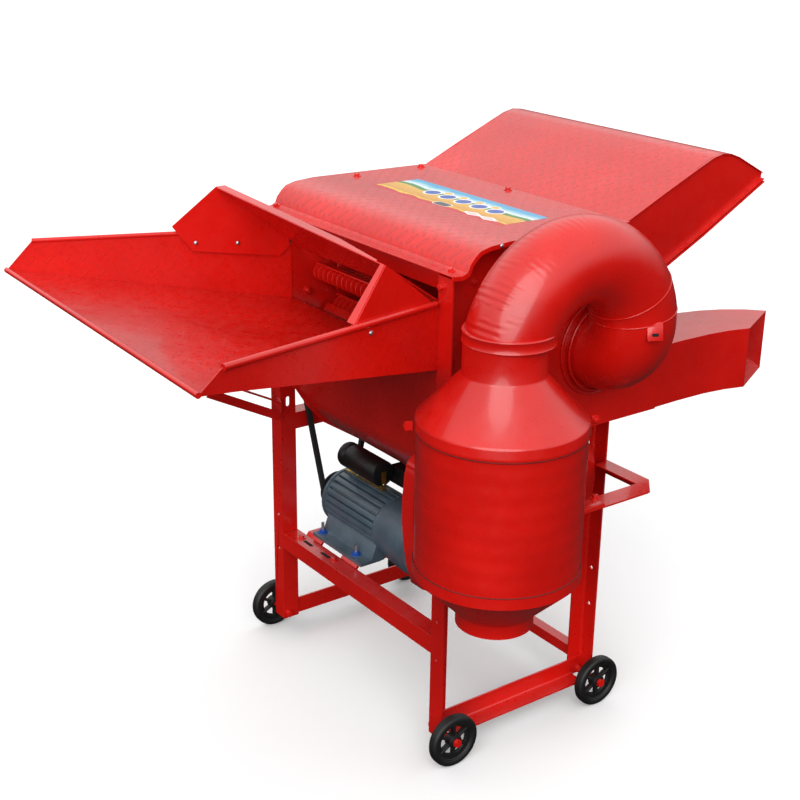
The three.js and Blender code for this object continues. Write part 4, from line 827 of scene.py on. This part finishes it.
work = bmesh.new()
chuteLine = [(433, 1083), (526, 1124.5), (620, 1165), (663, 1183), (690, 1189), (717, 1186), (742, 1177),
             (820, 1137)]
footLine = [(819, 1124), (646, 1031), (546, 982), (434, 927)]
for y, side in ((0, -1), (658, 1)):
    for line, out, first, second in ((chuteLine, "hem", 0, 0), (footLine, "flange", 1, 5)):
        foldStrip(work, [(x, y - side * trim["tuck"], z - first) for x, z in line],
                  [(x, y + side * trim[out], z - second) for x, z in line], trim["fold"])
keepPiece(work, "chute_hems", sharp=30)

work = bmesh.new()
for y, radius, thick in trim["port"]:
    rollBead(work, placed(bendShape["fanX"], y, bendShape["fanZ"]), Vector((0, 1, 0)), radius, thick)
keepPiece(work, "port_beads")

work = bmesh.new()
for z in cylinderShape["seamsAt"]:
    rollBead(work, placed(cylinderShape["x"], cylinderShape["y"], z), Vector((0, 0, 1)),
             cylinderShape["seamRadius"], cylinderShape["seamThick"])
keepPiece(work, "cylinder_seams", finish="shadedRed")

# Rounded cheek of the grain's way into the cylinder and the thin plate behind it: the near side of
# each, its depth, and what the plate has beyond the cheek's line
cheekShape = {"walls": [(-37, 33, []), (-4, 2, [(88, 425), (88, 712)])], "line": [
    (-60, 712), (-84, 708), (-97, 697), (-104, 672), (-108, 625), (-108, 580), (-104, 530), (-96, 480),
    (-84, 440), (-60, 425)]}
work = bmesh.new()
for y, deep, end in cheekShape["walls"]:
    addSlab(work, [placed(x, y, z) for x, z in cheekShape["line"] + end], (0, mm(deep), 0))
bmesh.ops.recalc_face_normals(work, faces=work.faces)
keepPiece(work, "inlet_cheek", sharp=50)

# Slotted ear on the bend with its foot, ears of the cylinder's clamp with their bolts
earShape = {"at": (281, -240.5, 946), "facing": (-0.42, -0.86, 0.28), "plate": (30, 34, 3),
            "foot": (30, 3, 12), "footAt": (0, 15, -5), "slot": (13, 6, 0.5), "slotAt": (0, -6, 1.5),
            "edge": 0.6, "slotEnd": 2.2}
clampShape = {"z": 806, "ears": [(-142, -83.6, -0.92, 0.38), (132, -236.4, 0.92, -0.38)],
              "size": (14, 4, 16), "out": 12, "boltOut": 13, "boltUp": 2, "across": 9, "head": 5}
railSlots = {"x": 19, "y": (461, 533), "z": 273.1, "size": (8, 34, 0.5), "thin": 0.6}
earPlace = standing(placed(*earShape["at"]), earShape["facing"], "Y")
work = bmesh.new()
addBox(work, earPlace, earShape["plate"])
addBox(work, earPlace @ shift(*earShape["footAt"]), earShape["foot"])
easeEdges(work, work.edges[:], earShape["edge"])
for x, y, dx, dy in clampShape["ears"]:
    turn = Matrix.Rotation(math.atan2(dy, dx), 4, "Z")
    out, boltOut, boltUp = clampShape["out"], clampShape["boltOut"], clampShape["boltUp"]
    addBox(work, Matrix.Translation(placed(x + dx * out, y + dy * out, clampShape["z"])) @ turn,
           clampShape["size"])
    bolt = placed(x + dx * boltOut + dy * boltUp, y + dy * boltOut - dx * boltUp, clampShape["z"])
    addHexBolt(work, bolt, (dy, -dx, 0), clampShape["across"], clampShape["head"])
keepPiece(work, "ears", sharp=30)
# Thin dark plates laid over the ear's slot and the rail slots: painted shade in the openings
work = bmesh.new()
addBox(work, earPlace @ shift(*earShape["slotAt"]), earShape["slot"])
for y in railSlots["y"]:
    addBox(work, Matrix.Translation(placed(railSlots["x"], y, railSlots["z"])), railSlots["size"])
easeEdges(work, [e for e in work.edges if e.calc_length() < mm(railSlots["thin"])], earShape["slotEnd"], 4)
keepPiece(work, "slotShadows", finish="slotShade")
print("trim made")

# Place of the hood's label: a plain printed country scene of sky, hills and ripe field, no words
labelShape = {"left": 190.8, "right": 313.2, "near": 97, "far": 528, "lift": 0.25, "wall": 0.2,
              "hoodZ": 1086.5, "hoodX": 125, "fall": 3.5 / 307}

# Plain motifs in rows across the label, in millimetres from its near front corner
motifSizes = ("from", "to", "pitch", "row", "half", "tall", "power", "border", "fill")
labelMotifs = [dict(zip(motifSizes, values)) for values in (
    (30, 130, 50, 14, 20, 8, 1.0, "F2F2EE", "E9C9C4"),
    (175, 235, 60, 15, 22, 11, 4.0, "F4F4F0", "3A3F44"),
    (320, 415, 19, 15, 6, 2.4, 2.0, "F3C91B", "F3C91B"),
    (70, 330, 52, 66, 17, 17, 2.0, "F6F7F4", "2456B0"),
    (96, 304, 52, 88, 10, 9, 2.0, "F6F7F4", "E9B63C"))]

# The scene's colours by height, and its two noises: patterns to the metre along each way, and detail
labelBands = [(0.0, "D11B12"), (0.2, "D11B12"), (0.21, "F3C91B"), (0.25, "F3C91B"), (0.26, "D9971E"),
              (0.62, "E9B63C"), (0.66, "2E7D3A"), (0.74, "3E9A4A"), (0.78, "F4F8F6"), (0.92, "7CCBE6"),
              (1.0, "3FA9D6")]
labelNoises = {"hills": ((2.0, 14.0, 0.0), 1.0), "ripe ears": ((90.0, 260.0, 1.0), 4.0)}


def printedVinyl():
    material, add, place = startFinish("printed vinyl film")
    corner = placed(labelShape["left"], labelShape["near"], 0)
    local = add("Mapping", {"Vector": place, "Location": (-corner.x, -corner.y, 0.0)})
    spot = add("SeparateXYZ", {0: local})
    hills, ears = [add("TexNoise", {"Vector": add("Mapping", {"Vector": local, "Scale": scale}),
                                    "Scale": 1.0, "Detail": detail})
                   for scale, detail in labelNoises.values()]
    rise = add("Math", {0: hills, 1: 0.03}, operation="MULTIPLY")
    height = add("Math", {0: spot.outputs["X"], 1: rise}, operation="ADD")
    share = add("Math", {0: height, 1: mm(labelShape["right"] - labelShape["left"])}, operation="DIVIDE")
    bands = add("ValToRGB", {0: share})
    fillRamp(bands.color_ramp, [(position, colourOf(tint)) for position, tint in labelBands])
    shade = add("MapRange", {0: ears, 1: 0.35, 2: 0.7, 3: 0.8, 4: 1.12})
    colour = add("Mix", {0: 1.0, 6: bands, 7: shade}, data_type="RGBA", blend_type="MULTIPLY")
    for motif in labelMotifs:
        begun = add("Math", {0: spot.outputs["Y"], 1: mm(motif["from"])}, operation="SUBTRACT")
        across = add("Math", {0: begun, 1: mm(motif["pitch"])}, operation="FLOORED_MODULO")
        shares = []
        for value, middle, half in ((across, motif["pitch"] / 2, motif["half"]),
                                    (spot.outputs["X"], motif["row"], motif["tall"])):
            away = add("Math", {0: value, 1: mm(middle)}, operation="SUBTRACT")
            beside = add("Math", {0: away}, operation="ABSOLUTE")
            reach = add("Math", {0: beside, 1: mm(half)}, operation="DIVIDE")
            shares.append(add("Math", {0: reach, 1: motif["power"]}, operation="POWER"))
        ring = add("Math", {0: shares[0], 1: shares[1]}, operation="ADD")
        ends = [add("Math", {0: spot.outputs["Y"], 1: mm(motif[end])}, operation=test)
                for end, test in (("from", "GREATER_THAN"), ("to", "LESS_THAN"))]
        within = add("Math", {0: ends[0], 1: ends[1]}, operation="MULTIPLY")
        for limit, tint in ((1.6, motif["border"]), (1.0, motif["fill"])):
            inside = add("Math", {0: ring, 1: limit}, operation="LESS_THAN")
            here = add("Math", {0: inside, 1: within}, operation="MULTIPLY")
            colour = add("Mix", {0: here, 6: colour.outputs[2], 7: colourOf(tint)}, data_type="RGBA")
    endFinish(add, {"Base Color": colour.outputs[2], "Roughness": 0.3, "Coat Weight": 0.3,
                    "Coat Roughness": 0.1})
    return material


finishes["label"] = printedVinyl()
work = bmesh.new()
corners = []
for end, side in (("left", "near"), ("right", "near"), ("right", "far"), ("left", "far")):
    x, y = labelShape[end], labelShape[side]
    z = labelShape["hoodZ"] - (x - labelShape["hoodX"]) * labelShape["fall"] + labelShape["lift"]
    corners.append(work.verts.new(placed(x, y, z)))
work.faces.new(corners)
bmesh.ops.subdivide_edges(work, edges=work.edges[:], cuts=6, use_grid_fill=True)
bmesh.ops.solidify(work, geom=work.faces[:], thickness=mm(labelShape["wall"]))
bmesh.ops.recalc_face_normals(work, faces=work.faces)
keepPiece(work, "hood_label", finish="label")
print("label laid")

# Studio: pale floor, bright sky overhead that fades below the horizon and is white to the camera,
# soft key light from the left
studio = {"floor": 40, "floorTone": "F6F6F6", "sky": 1.05, "horizon": 0.16, "below": 0.03,
          "key": 2.5, "keySpread": 62, "keyFrom": (-0.68, -0.68, 0.58)}


def setStudio():
    work = bmesh.new()
    bmesh.ops.create_grid(work, x_segments=1, y_segments=1, size=studio["floor"])
    floor = putObject("floor", meshOf(work, "floor"))
    material, add = startFinish("matt studio floor")[:2]
    endFinish(add, {"Base Color": colourOf(studio["floorTone"]), "Roughness": 0.9,
                     "Specular IOR Level": 0.1})
    floor.data.materials.append(material)
    floor.visible_glossy = False
    floor.visible_diffuse = False
    world = bpy.data.worlds.new("studio")
    world.use_nodes = True
    tree = world.node_tree
    add = partial(addNode, tree)
    back = tree.nodes["Background"]
    back.inputs["Strength"].default_value = 1
    toward = add("SeparateXYZ", {0: add("TexCoord").outputs["Generated"]})
    level = add("MapRange", {0: toward.outputs["Z"], 1: -1.0, 2: 1.0})
    sky = add("ValToRGB", {0: level})
    shades = [(0.0, "below"), (0.48, "below"), (0.53, "horizon"), (0.68, "sky"), (1.0, "sky")]
    fillRamp(sky.color_ramp, [(position, (*[studio[name]] * 3, 1)) for position, name in shades])
    seen = add("LightPath")
    shown = add("Mix", {0: seen.outputs["Is Camera Ray"], 6: sky,
                                            7: (1, 1, 1, 1)}, data_type="RGBA")
    tree.links.new(shown.outputs[2], back.inputs["Color"])
    bpy.context.scene.world = world
    lamp = bpy.data.lights.new("key", "SUN")
    lamp.energy, lamp.angle = studio["key"], math.radians(studio["keySpread"])
    holder = putObject("key", lamp)
    holder.rotation_euler = (-Vector(studio["keyFrom"])).to_track_quat("-Z", "Y").to_euler()
    bpy.context.scene.view_settings.view_transform = "Standard"


# Camera where the photograph was taken from: metres in the frame, angles in degrees
photoView = {"x": -1.670514, "y": -2.132111, "z": 1.731628, "turn": 36.474, "down": 21.594, "roll": 0.897,
             "lens": 63.425, "shiftX": -0.0091, "shiftY": 0.0254}


def setCamera():
    lens = bpy.data.cameras.new("photo view")
    lens.sensor_width, lens.lens = 36, photoView["lens"]
    lens.shift_x, lens.shift_y = photoView["shiftX"], photoView["shiftY"]
    lens.clip_start, lens.clip_end = 0.1, 200
    camera = putObject("photo view", lens)
    turn, down, roll = (math.radians(photoView[k]) for k in ("turn", "down", "roll"))
    ahead = Vector((math.sin(turn) * math.cos(down), math.cos(turn) * math.cos(down), -math.sin(down)))
    level = Vector((math.cos(turn), -math.sin(turn), 0))
    above = level.cross(ahead)
    right = level * math.cos(roll) + above * math.sin(roll)
    top = above * math.cos(roll) - level * math.sin(roll)
    place = Matrix((right, top, -ahead)).transposed().to_4x4()
    place.translation = (photoView["x"], photoView["y"], photoView["z"])
    camera.matrix_world = place
    bpy.context.scene.camera = camera


setStudio()
setCamera()
print("studio ready")
